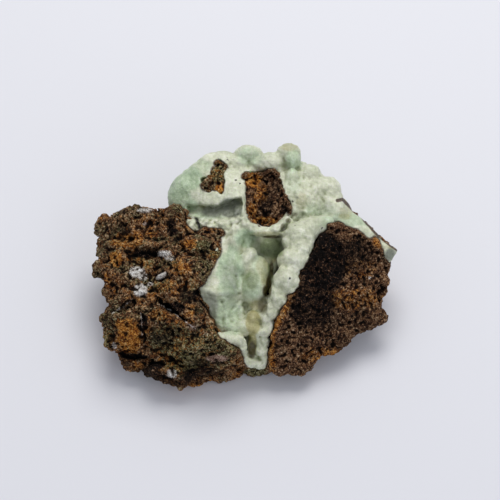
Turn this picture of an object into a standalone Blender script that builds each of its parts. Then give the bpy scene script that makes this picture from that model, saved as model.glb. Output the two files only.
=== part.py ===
"""Aragonite on limonite: a hand specimen, in metres, +Z up, resting on its flat underside.

Two solids: limonite_matrix, the broken brown stone, and aragonite_crust, the pale green lining, dome and
knobs that grew on it. Sizes below are millimetres and are turned to metres where a mesh is made.
"""

import math
import random

import bmesh
import bpy
from mathutils import Euler, Matrix, Vector, noise

# The specimen's length drives its size: every other figure is noted for one that is 81 mm long.
LENGTH = 81.0
NOTED_LENGTH = 81.0
MM = 0.001 * LENGTH / NOTED_LENGTH

# Places are noted as they look from the front, from this far above the table's plane: millimetres across
# and up the view from the specimen's middle, then the height above the table.
VIEW_TILT = math.radians(55)
MID_HEIGHT = 17.0
# The middle of the finished specimen's box, from the place that the view is measured from.
MIDDLE = Vector((-0.67, 1.83, 0.0))

STONE_GRAIN = 0.85
CRUST_GRAIN = 0.6
STONE_TRIANGLES = 4400
CRUST_TRIANGLES = 3600
GAP = 0.35


def seen(across, up, height):
    """The place in millimetres that is seen at (across, up) and lies at this height."""
    back = (up - (height - MID_HEIGHT) * math.cos(VIEW_TILT)) / math.sin(VIEW_TILT)
    return Vector((across, back, height))


def as_seen(place):
    """Where in the view, across and up, a place is seen."""
    up = place.y * math.sin(VIEW_TILT) + (place.z - MID_HEIGHT) * math.cos(VIEW_TILT)
    return Vector((place.x, up))


# Limonite: corners of the broken chunks

LEFT_PLATEAU = [
    (-38.6, 8.6, 18.6), (-36.8, 11.8, 19.6), (-31.5, 13.8, 23), (-22.0, 15.0, 25.6), (-17.0, 13.6, 26),
    (-15.5, 7.2, 25.6), (-8.0, 7.6, 24.4), (-7.4, 4.0, 24.6), (-9.5, -2.0, 25), (-13.0, -7.0, 25),
    (-21.0, -9.5, 22), (-35.0, -12.5, 19.5), (-39.0, -1.0, 18), (-36.0, 5.0, 8), (-20.0, 7.0, 6),
    (-8.0, 0.0, 8), (-36.0, -16.0, 9),
]
LEFT_FRONT = [
    (-35.5, -12.5, 20), (-22.0, -9.5, 22.5), (-13.0, -8.0, 24), (-11.5, -13.5, 22.5), (-7.0, -19.0, 20),
    (-2.0, -22.5, 15), (0.3, -26.5, 8), (-5.0, -29.6, 4.5), (-15.0, -30.8, 4), (-25.0, -29.6, 4.5),
    (-33.0, -24.0, 7),
    (-38.0, -21.5, 9), (-39.0, -12.0, 14), (-20.0, -20.0, 3), (-8.0, -24.0, 3),
]
RIGHT_SLAB = [
    (20.7, 11.8, 27), (17.0, 6.0, 26.5), (14.0, 1.0, 25.5), (10.0, -9.0, 22.5), (6.5, -17.5, 17.5),
    (5.5, -26.0, 8), (7.6, -27.8, 5), (13.8, -29.2, 5), (20.0, -24.6, 6.5), (27.0, -18.6, 7.5),
    (34.8, -16.0, 8), (37.2, -8.0, 12.5), (36.8, -1.3, 16), (35.4, 6.5, 20), (26.5, 10.8, 26),
    (10.0, -14.0, 5), (30.0, -6.0, 5),
]
RIGHT_REAR = [
    (25.0, 17.7, 23.5), (30.0, 14.0, 21.5), (35.4, 8.6, 19.2), (39.8, 4.0, 16.0), (38.5, -1.0, 13.0),
    (36.0, -4.0, 8), (31.5, 4.5, 6), (26.0, 9.5, 4), (18.0, 14.0, 8), (24.0, 8.0, 19),
]
BACK = [
    (-19.5, 14.0, 13), (-17.5, 16.0, 6), (-11.0, 20.6, 9), (-1.0, 22.4, 5.5), (6.0, 22.8, 10),
    (15.0, 20.4, 6), (21.0, 17.0, 13), (24.0, 14.5, 16), (-12.0, 10.5, 1), (10.0, 12.5, 1), (0.0, 14.5, 1),
    (-19.0, 6.0, 3), (22.0, 4.0, 3), (0.0, 10.0, 17),
]
FOOT = [
    (-20.0, -21.0, -3), (-8.0, -24.0, -3), (12.0, -24.0, -3), (22.0, -19.0, -3), (23.0, -7.0, -3),
    (13.0, 1.0, -3), (-5.0, 3.0, -3), (-17.0, -1.0, -3), (-23.0, -10.0, -3), (-33.0, -14.0, 9),
    (-12.0, -25.0, 8), (13.0, -24.0, 8), (32.0, -10.0, 8), (27.0, 8.0, 9), (14.0, 19.0, 9),
    (-8.0, 20.0, 9), (-20.0, 10.0, 10), (0.0, 0.0, 12),
]
# Limonite that comes up through the dome: the large window and the small three-lobed one.
LARGE_WINDOW = [
    (-1.5, 24.8, 32.8), (7.8, 26.2, 32.4), (11.8, 14.0, 30.6), (7.6, 11.2, 29.2), (0.2, 11.6, 29.2),
    (2.0, 12.0, 14), (9.0, 10.0, 14), (2.0, 8.0, 14),
]
SMALL_WINDOW = [(-7.6, 26.4, 1.8), (-8.4, 23.4, 1.7), (-7.8, 20.6, 1.8), (-10.8, 21.6, 1.7)]
SMALL_WINDOW_TOP = 31.6
SMALL_WINDOW_DEPTH = 24.0

# Stumps and ledges on the stone: place, then radii.
STONE_KNOBS = [
    ((-38.4, 10.4, 17.6), (2.2, 2.4, 2.8)), ((-34.5, 11.6, 20.5), (2.8, 2.0, 2.6)),
    ((-38.6, -1.6, 16), (2.1, 1.7, 2.8)), ((-18.5, 13.4, 25.2), (3.6, 2.4, 2.4)),
    ((-30.0, 13.2, 23), (3.2, 2.2, 2.4)), ((-10.6, 6.8, 24.4), (3.8, 1.6, 1.8)),
    ((-36.6, -14.0, 12.4), (2.8, 3.4, 4.2)), ((36.2, -5.0, 13.6), (2.0, 2.2, 3.0)),
    ((33.4, -13.8, 9.6), (3.8, 2.2, 3.0)), ((24.0, -18.8, 9), (4.4, 2.0, 3.4)),
    ((-29.5, -23.6, 7.6), (6.0, 2.6, 3.6)), ((-18.6, -28.2, 7), (7.5, 2.6, 3.6)),
    ((-14.5, 4.0, 24.6), (2.6, 2.2, 2.4)), ((-12.0, -2.5, 25.0), (3.0, 3.4, 2.0)),
]
# Cracks, as seen from the front: the path's two ends, then half width and depth.
CRACKS = [
    ((-23.0, -9.0), (-16.0, -14.0), 1.3, 4.0), ((-35.2, -12.4), (-30.4, -9.8), 1.0, 2.4),
    ((-20.8, 10.4), (-17.4, 5.0), 1.6, 1.6), ((-28.0, -14.0), (-27.2, -21.5), 0.9, 1.2),
    ((-33.5, -23.6), (-26.0, -25.0), 1.1, 2.8), ((36.8, -6.0), (35.2, -9.0), 1.0, 1.4),
    ((-14.6, 11.6), (-13.2, 9.0), 0.8, 1.6), ((-30.0, 1.0), (-22.0, 4.5), 1.6, 0.8),
]
# Hummocks and hollows of the left block, as seen: across, up, radius and rise.
MOUNDS = [
    (-20.0, 13.6, 3.6, 1.3), (-15.5, -1.5, 4.6, 1.6), (-25.8, -2.6, 4.2, -1.9), (-31.0, 8.0, 5.0, 0.8),
    (-35.5, 2.0, 3.6, 0.6), (-31.6, -17.0, 4.4, 0.9), (-16.0, -21.0, 6.0, 0.7), (-12.0, 5.6, 3.2, 0.9),
    (-23.0, -28.5, 4.0, 1.0), (-33.5, 12.0, 2.6, 0.9), (-28.0, -7.0, 3.0, 0.6), (-8.0, -25.0, 4.0, 0.6),
]

# Aragonite: place, radii and turn in degrees of each swelling

DOME = [
    ((-5.0, 14.6, 15), (17.0, 14.5, 16.0), (0, 0, 0)),
    ((12.0, 13.2, 15), (13.5, 14.0, 15.0), (0, 0, 0)),
    ((-13.0, 13.0, 15), (8.0, 9.0, 10.5), (0, 0, 0)),
    ((20.0, 11.5, 15.5), (9.0, 8.5, 9.5), (0, 0, 0)),
]
KNOBS = [
    ((0.3, 29.4, 30.0), (3.7, 3.0, 3.2)), ((11.0, 29.4, 31.2), (3.3, 3.0, 3.0)),
    ((12.0, 26.6, 29.5), (3.3, 3.4, 3.4)), ((5.8, 27.0, 30.0), (3.7, 3.0, 3.0)),
    ((16.0, 24.0, 27.6), (3.4, 3.2, 3.0)), ((18.5, 20.5, 27.0), (3.5, 3.3, 3.2)),
    ((15.5, 18.0, 28.6), (3.1, 3.1, 2.6)), ((22.0, 18.0, 25.6), (3.2, 3.2, 3.0)),
    ((19.5, 15.5, 27.2), (3.3, 3.1, 2.8)), ((15.0, 22.0, 29.2), (2.9, 2.7, 2.4)),
    ((23.0, 14.8, 25.8), (3.3, 3.0, 2.8)), ((14.5, 14.5, 28.2), (2.7, 2.5, 2.6)),
]
# Lumps spread over the back and side of the dome: how many, and their smallest and largest radius.
BACK_LUMPS = 64
BACK_LUMP_RADII = (2.2, 4.2)
RIGHT_BANK = [
    (19.5, 13.6, 27), (24.2, 17.2, 25), (30.0, 13.2, 22.8), (35.2, 8.0, 21.2), (39.0, 3.4, 18.0),
    (37.0, 1.8, 18.2), (35.4, 4.0, 19.6), (32.0, 8.4, 22.2), (26.5, 11.4, 25.6), (20.0, 11.0, 20), (30.0, 8.5, 14),
    (37.0, 3.0, 12), (26.0, 13.0, 14),
]
RIGHT_TIP = ((37.0, 3.0, 17.2), (3.0, 2.1, 2.2))
# The lumpy band between the pocket and the right slab, from the top down: place and radius.
BAND = [
    (21.5, 11.4, 27.0, 2.0), (18.6, 10.2, 26.8, 3.3), (16.0, 9.2, 26.4, 3.8), (14.4, 6.0, 26.0, 4.2),
    (12.8, 2.8, 25.2, 4.0), (11.2, -0.4, 24.0, 3.8), (9.8, -3.6, 23.0, 3.4), (8.6, -6.8, 21.6, 3.0),
    (7.2, -9.8, 20.0, 2.6), (5.9, -12.8, 18.0, 2.2), (4.9, -15.8, 16.0, 2.0), (4.2, -18.8, 13.6, 1.9),
    (3.8, -21.8, 11.0, 1.9), (3.6, -24.6, 8.6, 1.9), (3.3, -26.6, 7.0, 1.8),
]
BAND_INNER = [
    (15.6, 5.2, 24.4, 3.2), (15.4, 1.4, 24.2, 2.6), (12.2, 8.4, 25.0, 2.8), (12.0, -4.4, 22.5, 2.6),
]
# The sheet on the valley's left wall.
SHEET = [
    ((-5.0, 0.0, 19.0), (7.0, 9.0, 4.2), (4, 26, 0)), ((-7.0, -8.0, 16.8), (7.2, 7.5, 5.0), (20, 26, 0)),
    ((-2.0, 6.0, 20.5), (6.5, 5.0, 4.4), (0, 10, 0)), ((-4.4, -15.5, 12.6), (5.2, 6.0, 4.6), (38, 26, 0)),
    ((1.0, -22.0, 7.0), (4.0, 4.4, 3.5), (45, 0, 0)), ((0.4, -10.0, 13.6), (4.4, 8.0, 4.0), (15, 14, 0)),
]
BULBS = [
    ((0.4, 3.2, 22.4), (1.9, 2.4, 2.2)), ((-2.2, 0.8, 21.6), (1.9, 2.6, 2.0)),
    ((3.6, 0.8, 21.8), (2.5, 2.7, 2.4)), ((2.3, -4.0, 20.4), (3.3, 4.2, 3.2)),
    ((-0.4, -4.6, 19.4), (3.0, 4.2, 3.0)), ((-2.2, -9.6, 17.6), (1.0, 2.8, 1.5)),
    ((-3.0, -13.0, 16.2), (1.1, 2.6, 1.5)), ((-0.4, -16.8, 13.6), (2.6, 2.6, 2.6)),
    ((-3.4, -17.6, 14.2), (2.4, 2.2, 2.2)), ((1.9, -13.4, 14.8), (2.6, 3.8, 2.8)),
    ((-2.6, -19.4, 15.2), (2.3, 1.7, 1.9)), ((-7.6, -6.4, 20.4), (3.4, 1.8, 1.8)),
    ((0.6, 0.2, 20.8), (2.4, 2.6, 2.0)), ((1.0, -8.8, 16.4), (3.4, 3.8, 2.8)),
]
# The white rim along the front of the sheet, as a path with a radius.
FRONT_RIM = [
    (-6.8, -19.2, 17.6, 1.5), (-4.0, -20.4, 16.2, 1.8), (-2.0, -21.6, 14.4, 1.9),
    (-0.9, -23.6, 12.0, 1.6), (-0.5, -25.6, 9.6, 1.5), (1.4, -27.2, 7.4, 1.6),
]
# The rim round the front of the large window, and the rough white ledge to its left.
WINDOW_RIM = [
    (-2.6, 18.0, 28.6, 1.7), (-2.0, 14.4, 28.2, 1.8), (0.0, 10.6, 27.0, 1.9), (3.4, 9.0, 26.4, 2.0),
    (7.0, 8.8, 26.4, 2.0), (10.2, 10.4, 27.2, 1.9), (12.6, 13.2, 28.0, 1.8),
]
WHITE_LEDGE = [
    (-15.4, 10.8, 24.0, 1.8), (-13.2, 10.0, 24.8, 2.0), (-10.4, 10.2, 24.8, 1.9), (-7.2, 10.0, 25.0, 1.9),
    (-4.2, 9.2, 25.0, 2.1), (-1.4, 8.2, 24.8, 2.1), (-3.6, 5.6, 23.8, 2.0),
]
# What is hollowed out of the aragonite: the green pocket, and the shaded ledge under the dome's lip.
POCKET = [
    ((6.6, 3.2, 17.0), (3.0, 4.6, 4.6), (20, 0, 0)), ((6.0, -1.4, 15.5), (1.8, 4.0, 4.0), (0, 0, 0)),
]
SHADED_LEDGE = [
    ((-11.0, 13.2, 25.6), (6.4, 2.0, 3.0), (0, 0, 0)), ((-5.2, 14.8, 26.2), (3.8, 2.8, 3.4), (0, 0, 0)),
]

LIMONITE_BROWN = (0.13, 0.065, 0.03, 1.0)
ARAGONITE_GREEN = (0.62, 0.72, 0.6, 1.0)


def new_object(name, form, collection):
    """Turns a bmesh in millimetres into a mesh object in metres."""
    form.transform(Matrix.Scale(MM, 4))
    mesh = bpy.data.meshes.new(name)
    form.to_mesh(mesh)
    form.free()
    made = bpy.data.objects.new(name, mesh)
    collection.objects.link(made)
    return made


def add_chunk(form, corners):
    """Adds an angular chunk of stone: the hull of its corners."""
    verts = [form.verts.new(seen(*corner)) for corner in corners]
    hull = bmesh.ops.convex_hull(form, input=verts)
    spare = [v for v in hull["geom_interior"] if isinstance(v, bmesh.types.BMVert)]
    bmesh.ops.delete(form, geom=list(set(spare)), context="VERTS")


def add_swelling(form, place, radii, turn=(0, 0, 0)):
    """Adds a rounded swelling: an ellipsoid at a place, turned by degrees about X, Y and Z."""
    size = Matrix.Diagonal((*radii, 1.0))
    turned = Euler([math.radians(angle) for angle in turn]).to_matrix().to_4x4()
    where = Matrix.Translation(seen(*place)) @ turned @ size
    bmesh.ops.create_icosphere(form, subdivisions=3, radius=1.0, matrix=where)


def add_post(form, across, up, radius, top, depth):
    """Adds an upright post of stone, a cylinder with its top at a height."""
    where = Matrix.Translation(seen(across, up, top) - Vector((0, 0, depth / 2)))
    bmesh.ops.create_cone(
        form, cap_ends=True, segments=12, radius1=radius, radius2=radius, depth=depth, matrix=where
    )


def add_back_lumps(form, rng):
    """Spreads lumps over the back of the dome's two main swellings, by equal turns of a spiral."""
    turn = math.pi * (3.0 - math.sqrt(5.0))
    for index in range(BACK_LUMPS):
        place, radii, _turn = DOME[index % 2]
        level = 1.0 - 2.0 * (index + 0.5) / BACK_LUMPS
        flat = math.sqrt(1.0 - level * level)
        out = Vector((flat * math.cos(turn * index), flat * math.sin(turn * index), level))
        size = rng.uniform(*BACK_LUMP_RADII)
        centre = seen(*place) + Vector([o * (r - 0.55 * size) for o, r in zip(out, radii)])
        if out.y > 0.3 and out.z < 0.72 and centre.z > size + 4.0:
            bmesh.ops.create_icosphere(
                form, subdivisions=3, radius=size, matrix=Matrix.Translation(centre)
            )


def add_row(form, row, jitter, rng):
    """Adds lumps along a row of (across, up, height, radius), with one more between each two."""
    for here, after in zip(row, row[1:] + row[-1:]):
        for share in (0.0, 0.5):
            across, up, height, radius = [a + (b - a) * share for a, b in zip(here, after)]
            shift = [rng.uniform(-jitter, jitter) for _ in range(3)]
            place = (across + shift[0], up + shift[1], height + shift[2])
            size = radius * rng.uniform(0.88, 1.06)
            add_swelling(form, place, (size, size, size))


def applied(obj):
    """Applies every modifier on obj."""
    graph = bpy.context.evaluated_depsgraph_get()
    mesh = bpy.data.meshes.new_from_object(obj.evaluated_get(graph))
    obj.modifiers.clear()
    obj.data = mesh
    return obj


def fuse(obj, grain, rounding):
    """Makes overlapping closed shapes one skin of this grain, and rounds its creases."""
    remesh = obj.modifiers.new("one_skin", "REMESH")
    remesh.mode = "VOXEL"
    remesh.voxel_size = grain * MM
    if rounding:
        smooth = obj.modifiers.new("rounding", "SMOOTH")
        smooth.iterations = rounding
        smooth.factor = 0.5
    return applied(obj)


def move_points(obj, push):
    """Moves each point along its normal by push(place, normal) millimetres."""
    form = bmesh.new()
    form.from_mesh(obj.data)
    form.normal_update()
    moves = [(v, v.normal * (push(v.co / MM, v.normal) * MM)) for v in form.verts]
    for vert, move in moves:
        vert.co += move
    form.to_mesh(obj.data)
    form.free()


def near_path(place, start, end):
    """How far a place in the view is from the straight line between two others."""
    start, along = Vector(start), Vector(end) - Vector(start)
    share = max(0.0, min(1.0, (place - start).dot(along) / along.length_squared))
    return (place - start - along * share).length


def smooth_step(value):
    """0 below 0, 1 above 1, and smooth between."""
    value = max(0.0, min(1.0, value))
    return value * value * (3.0 - 2.0 * value)


def stone_relief(place, normal):
    """The limonite's broken surface: ledges and lumps, calmer on the right slab, with cracks let in."""
    calm = smooth_step((place.x - 4.0) / 4.0) * smooth_step((20.0 - place.y) / 6.0)
    calm *= smooth_step((place.z - 7.0) / 4.0)
    lumps = noise.fractal(place / 9.0, 1.0, 2.0, 3) * (1.6 + 0.9 * smooth_step((9.0 - place.z) / 5.0))
    grit = noise.fractal(place / 2.6 + Vector((7.0, 3.0, 1.0)), 1.0, 2.0, 2) * 0.6
    layers = math.sin(place.z * 1.3 + 5.0 * noise.noise(place / 9.0)) * 0.18
    push = (lumps + grit + layers) * (1.0 - 0.62 * calm)
    towards_view = Vector((0.0, -math.cos(VIEW_TILT), math.sin(VIEW_TILT)))
    facing = smooth_step(normal.dot(towards_view) * 2.0)
    spot = as_seen(place)
    for across, up, radius, rise in MOUNDS:
        gap = (spot - Vector((across, up))).length / radius
        push += facing * rise * (1.0 - smooth_step(gap))
    for start, end, half_width, depth in CRACKS:
        gap = near_path(spot, start, end) / half_width
        push -= facing * depth * (1.0 - smooth_step(gap - 0.35))
    return push


def crust_relief(place, normal):
    """Small rounded lumps of aragonite, missing from the smooth sheet on the valley's left."""
    spread, _points = noise.voronoi(place / 3.6)
    sheet = smooth_step((4.0 - place.x) / 5.0) * smooth_step((6.0 - place.y) / 4.0)
    return (0.24 - 0.6 * spread[0] ** 2) * (1.0 - 0.8 * sheet)


def thin_out(obj, triangles):
    """Collapses edges until the object has about this many triangles."""
    obj.data.update()
    count = sum(len(face.vertices) - 2 for face in obj.data.polygons)
    collapse = obj.modifiers.new("fewer_faces", "DECIMATE")
    collapse.ratio = min(1.0, triangles / count)
    collapse.use_collapse_triangulate = True
    return applied(obj)


def cut_flat(obj, height):
    """Cuts obj off flat at a height in millimetres, and closes the cut."""
    form = bmesh.new()
    form.from_mesh(obj.data)
    everything = form.verts[:] + form.edges[:] + form.faces[:]
    cut = bmesh.ops.bisect_plane(
        form, geom=everything, dist=1e-7, plane_co=(0, 0, height * MM), plane_no=(0, 0, -1), clear_outer=True
    )
    edges = [e for e in cut["geom_cut"] if isinstance(e, bmesh.types.BMEdge)]
    bmesh.ops.holes_fill(form, edges=edges)
    bmesh.ops.triangulate(form, faces=form.faces[:])
    form.to_mesh(obj.data)
    form.free()


def cut_away(obj, cutter):
    """Takes the cutter's volume out of obj."""
    boolean = obj.modifiers.new("cut", "BOOLEAN")
    boolean.operation = "DIFFERENCE"
    boolean.solver = "EXACT"
    boolean.use_self = True
    boolean.object = cutter
    return applied(obj)


def keep_largest(obj):
    """Deletes every loose crumb that a cut left, and keeps the main body."""
    form = bmesh.new()
    form.from_mesh(obj.data)
    bmesh.ops.remove_doubles(form, verts=form.verts[:], dist=1e-6)
    left = set(form.verts)
    bodies = []
    while left:
        body = set()
        edge_of_search = [left.pop()]
        while edge_of_search:
            vert = edge_of_search.pop()
            body.add(vert)
            near = [e.other_vert(vert) for e in vert.link_edges]
            fresh = [v for v in near if v in left]
            left.difference_update(fresh)
            edge_of_search.extend(fresh)
        bodies.append(body)
    bodies.sort(key=len)
    for crumb in bodies[:-1]:
        bmesh.ops.delete(form, geom=list(crumb), context="VERTS")
    form.to_mesh(obj.data)
    form.free()


def build_stone(collection):
    """The limonite: chunks and stumps fused, roughened, thinned, and cut flat below."""
    form = bmesh.new()
    for corners in (LEFT_PLATEAU, LEFT_FRONT, RIGHT_SLAB, RIGHT_REAR, BACK, FOOT, LARGE_WINDOW):
        add_chunk(form, corners)
    for across, up, radius in SMALL_WINDOW:
        add_post(form, across, up, radius, SMALL_WINDOW_TOP, SMALL_WINDOW_DEPTH)
    for place, radii in STONE_KNOBS:
        add_swelling(form, place, radii)
    stone = new_object("limonite_matrix", form, collection)
    fuse(stone, STONE_GRAIN, 2)
    move_points(stone, stone_relief)
    thin_out(stone, STONE_TRIANGLES)
    cut_flat(stone, 0.0)
    keep_largest(stone)
    return stone


def build_crust(collection, helpers, stone):
    """The aragonite: swellings fused, hollowed and lumped, then fitted over the stone."""
    rng = random.Random(11)
    form = bmesh.new()
    for place, radii, turn in DOME + SHEET:
        add_swelling(form, place, radii, turn)
    for place, radii in KNOBS + BULBS + [RIGHT_TIP]:
        add_swelling(form, place, radii)
    add_chunk(form, RIGHT_BANK)
    add_back_lumps(form, rng)
    for row in (BAND, BAND_INNER, WHITE_LEDGE):
        add_row(form, row, 0.35, rng)
    for row in (FRONT_RIM, WINDOW_RIM):
        add_row(form, row, 0.12, rng)
    crust = new_object("aragonite_crust", form, collection)
    fuse(crust, CRUST_GRAIN, 1)

    hollow = bmesh.new()
    for place, radii, turn in POCKET + SHADED_LEDGE:
        add_swelling(hollow, place, radii, turn)
    hollows = new_object("hollows", hollow, helpers)
    cut_away(crust, hollows)
    fuse(crust, CRUST_GRAIN, 1)
    move_points(crust, crust_relief)
    thin_out(crust, CRUST_TRIANGLES)

    seat = stone.copy()
    seat.data = stone.data.copy()
    seat.name = "seat"
    helpers.objects.link(seat)
    move_points(seat, lambda place, normal: GAP)
    cut_away(crust, seat)
    keep_largest(crust)
    return crust


def set_on_middle(objects):
    """Shifts the finished solids so that the middle of their box stands over the origin."""
    for obj in objects:
        obj.data.transform(Matrix.Translation(-MIDDLE * MM))


def give_material(obj, name, colour, roughness):
    material = bpy.data.materials.new(name)
    material.use_nodes = True
    shader = material.node_tree.nodes["Principled BSDF"]
    shader.inputs["Base Color"].default_value = colour
    shader.inputs["Roughness"].default_value = roughness
    obj.data.materials.clear()
    obj.data.materials.append(material)


def main():
    for old in list(bpy.data.objects):
        bpy.data.objects.remove(old)
    specimen = bpy.data.collections.new("aragonite")
    helpers = bpy.data.collections.new("cutters")
    bpy.context.scene.collection.children.link(specimen)
    bpy.context.scene.collection.children.link(helpers)

    stone = build_stone(specimen)
    crust = build_crust(specimen, helpers, stone)
    set_on_middle([stone, crust])
    for helper in helpers.objects:
        helper.hide_render = True
        helper.display_type = "WIRE"
    give_material(stone, "limonite", LIMONITE_BROWN, 0.9)
    give_material(crust, "aragonite", ARAGONITE_GREEN, 0.35)


main()
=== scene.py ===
# %% [markdown]
# Aragonite on limonite, a hand specimen about 80 mm long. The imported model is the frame: two solids, the
# brown stone and the pale crust that grew on it. Every piece below is in metres in the frame's own place.

# %% The frame
import math
import random

import bmesh
import bpy
import numpy as np
from mathutils import Matrix, Vector, noise
from mathutils.bvhtree import BVHTree


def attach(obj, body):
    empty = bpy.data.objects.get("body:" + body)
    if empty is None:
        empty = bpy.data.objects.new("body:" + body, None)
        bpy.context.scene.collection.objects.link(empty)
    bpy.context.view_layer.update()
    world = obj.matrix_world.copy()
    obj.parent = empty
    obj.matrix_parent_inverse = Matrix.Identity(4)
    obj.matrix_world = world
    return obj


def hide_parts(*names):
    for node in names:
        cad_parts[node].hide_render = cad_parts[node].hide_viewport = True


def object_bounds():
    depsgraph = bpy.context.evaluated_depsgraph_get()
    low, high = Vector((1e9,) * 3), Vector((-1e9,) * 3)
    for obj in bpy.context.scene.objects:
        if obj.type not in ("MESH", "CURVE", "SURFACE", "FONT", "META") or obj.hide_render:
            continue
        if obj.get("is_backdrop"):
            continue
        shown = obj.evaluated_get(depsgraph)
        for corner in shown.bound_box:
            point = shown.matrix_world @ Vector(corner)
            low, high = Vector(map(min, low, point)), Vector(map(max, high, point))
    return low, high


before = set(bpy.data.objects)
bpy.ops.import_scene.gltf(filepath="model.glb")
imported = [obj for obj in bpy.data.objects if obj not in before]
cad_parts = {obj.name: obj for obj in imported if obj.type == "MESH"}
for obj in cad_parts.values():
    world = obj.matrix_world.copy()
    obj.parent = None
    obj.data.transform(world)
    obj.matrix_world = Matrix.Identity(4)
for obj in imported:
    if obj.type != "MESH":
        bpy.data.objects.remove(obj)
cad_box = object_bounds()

MM = 0.001
print("frame nodes:", sorted(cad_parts), "box", [tuple(corner) for corner in cad_box])

# %% [markdown]
# A lump or a stain is easiest to note as it looks from the front: so many millimetres across and up the
# view, and a height above the table. The specimen is seen from 55 degrees above the table's plane, so one
# formula turns such a note into a place, and its inverse says where in the view a place is seen.

# %% Places as they are seen
VIEW_TILT = math.radians(55)
MID_HEIGHT = 17.0
MIDDLE = Vector((-0.67, 1.83, 0.0))


def seen(across, up, height):
    """The place in millimetres that is seen at (across, up) and lies at this height."""
    back = (up - (height - MID_HEIGHT) * math.cos(VIEW_TILT)) / math.sin(VIEW_TILT)
    return Vector((across, back, height)) - MIDDLE


def as_seen(places):
    """Where in the view, across and up, each of an array of places in millimetres is seen."""
    back = places[:, 1] + MIDDLE.y
    up = back * math.sin(VIEW_TILT) + (places[:, 2] - MID_HEIGHT) * math.cos(VIEW_TILT)
    return np.column_stack((places[:, 0] + MIDDLE.x, up))


print("seen in the middle of the view:", tuple(round(value, 2) for value in seen(0, 0, MID_HEIGHT)))

# %% [markdown]
# The camera looks along +Y from 55 degrees above. A long lens from 0.7 m away draws the specimen with as
# little perspective as a close-up of a mineral has. The frame is 134 mm wide where the specimen lies.

# %% Camera
VIEW_WIDTH = 133.7
CAMERA_DISTANCE = 0.7
SENSOR = 36.0
AIM = (Vector((0.67, 3.28, 19.3)) - MIDDLE) * MM

bpy.ops.object.camera_add()
camera = bpy.context.object
camera.name = "camera"
towards_camera = Vector((0, -math.cos(VIEW_TILT), math.sin(VIEW_TILT)))
to_eye = np.array(towards_camera)
camera.location = AIM + towards_camera * CAMERA_DISTANCE
camera.rotation_euler = (math.pi / 2 - VIEW_TILT, 0, 0)
camera.data.sensor_width = SENSOR
camera.data.lens = SENSOR * CAMERA_DISTANCE / (VIEW_WIDTH * MM)
bpy.context.scene.camera = camera
print("lens", round(camera.data.lens, 1), "mm")

# %% [markdown]
# Studio light for a mineral is broad and soft: a wide panel above and a little behind, so that the pale
# crust glows at its edge, a weaker one in front, and an even pale surround.

# %% Light


def linear(hex_colour):
    """A linear RGBA colour from an sRGB hex value."""
    parts = [int(hex_colour[i:i + 2], 16) / 255 for i in (1, 3, 5)]
    return tuple(p / 12.92 if p <= 0.04045 else ((p + 0.055) / 1.055) ** 2.4 for p in parts) + (1.0,)


def add_panel(name, place, size, power, colour):
    """A square light panel that faces the specimen."""
    bpy.ops.object.light_add(type="AREA", location=place)
    panel = bpy.context.object
    panel.name = name
    panel.data.size = size
    panel.data.energy = power
    panel.data.color = linear(colour)[:3]
    panel.rotation_euler = (Vector((0, 0, 0.015)) - Vector(place)).to_track_quat("-Z", "Y").to_euler()
    return panel


add_panel("top_panel", (0.05, 0.30, 0.60), 0.42, 2.9, "#fffdf8")
add_panel("front_panel", (0.36, -0.56, 0.50), 0.5, 0.9, "#f4f6ff")

world = bpy.data.worlds.new("surround")
bpy.context.scene.world = world
world.use_nodes = True
world.node_tree.nodes["Background"].inputs["Color"].default_value = linear("#e9ebf2")
world.node_tree.nodes["Background"].inputs["Strength"].default_value = 0.6
bpy.context.scene.view_settings.view_transform = "Standard"

# %% [markdown]
# The floor is a sheet of pale matt paper, which isn't part of the specimen. Its material is the first one, so
# the one small function that adds a node of any kind, with its settings and links, comes here too.

# %% Floor


def add_node(material, kind, inputs=None, **settings):
    """Adds a node with its settings, and sets or links its inputs: a value, or another node's output."""
    node = material.node_tree.nodes.new(kind)
    for key, value in settings.items():
        setattr(node, key, value)
    for key, value in (inputs or {}).items():
        if isinstance(value, bpy.types.NodeSocket):
            material.node_tree.links.new(value, node.inputs[key])
        else:
            node.inputs[key].default_value = value
    return node


def new_material(name):
    """A material with only a Principled shader, and that shader."""
    material = bpy.data.materials.new(name)
    material.use_nodes = True
    return material, material.node_tree.nodes["Principled BSDF"]


bpy.ops.mesh.primitive_plane_add(size=4.0, location=(0, 0, 0))
floor = bpy.context.object
floor.name = "floor"
paper, shader = new_material("matt_paper")
shader.inputs["Base Color"].default_value = linear("#dcdde3")
shader.inputs["Roughness"].default_value = 0.9
floor.data.materials.append(paper)
floor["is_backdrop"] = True
print("floor material", paper.name, "with", len(paper.node_tree.nodes), "nodes")

# %% [markdown]
# The crust. Botryoidal aragonite grows outwards from many points at once, so it is a heap of round swellings
# that meet in creases. Each swelling is an icosphere, stretched and placed where it is seen. The first ones
# are the large forms: the dome, the sheet that lines the valley, and the bank on the right.

# %% The crust's large forms
# Across, up and height of each, its radii, and for some a turn.
DOME = [
    ((-5.0, 14.6, 15), (16.6, 14.2, 15.8)), ((12.0, 13.2, 15), (13.5, 14.0, 15.0)),
    ((-13.0, 13.0, 15), (8.0, 9.0, 10.5)), ((20.0, 11.5, 15.5), (9.0, 8.5, 9.5)),
]
KNOBS = [
    ((0.1, 29.9, 29.6), (3.9, 2.5, 2.7)), ((11.1, 30.5, 31.0), (3.2, 2.4, 2.4)),
    ((12.1, 28.2, 29.6), (2.4, 3.0, 3.2)), ((6.2, 27.6, 29.4), (3.6, 2.8, 2.8)),
    ((-6.6, 26.2, 25.4), (5.6, 4.4, 4.6)), ((16.0, 23.4, 26.4), (3.6, 3.4, 3.4)),
    ((18.8, 20.4, 25.6), (4.0, 3.4, 3.6)), ((21.6, 17.8, 24.4), (4.0, 3.6, 3.4)),
    ((23.0, 14.4, 24.8), (3.6, 3.2, 3.0)),
]
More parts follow.
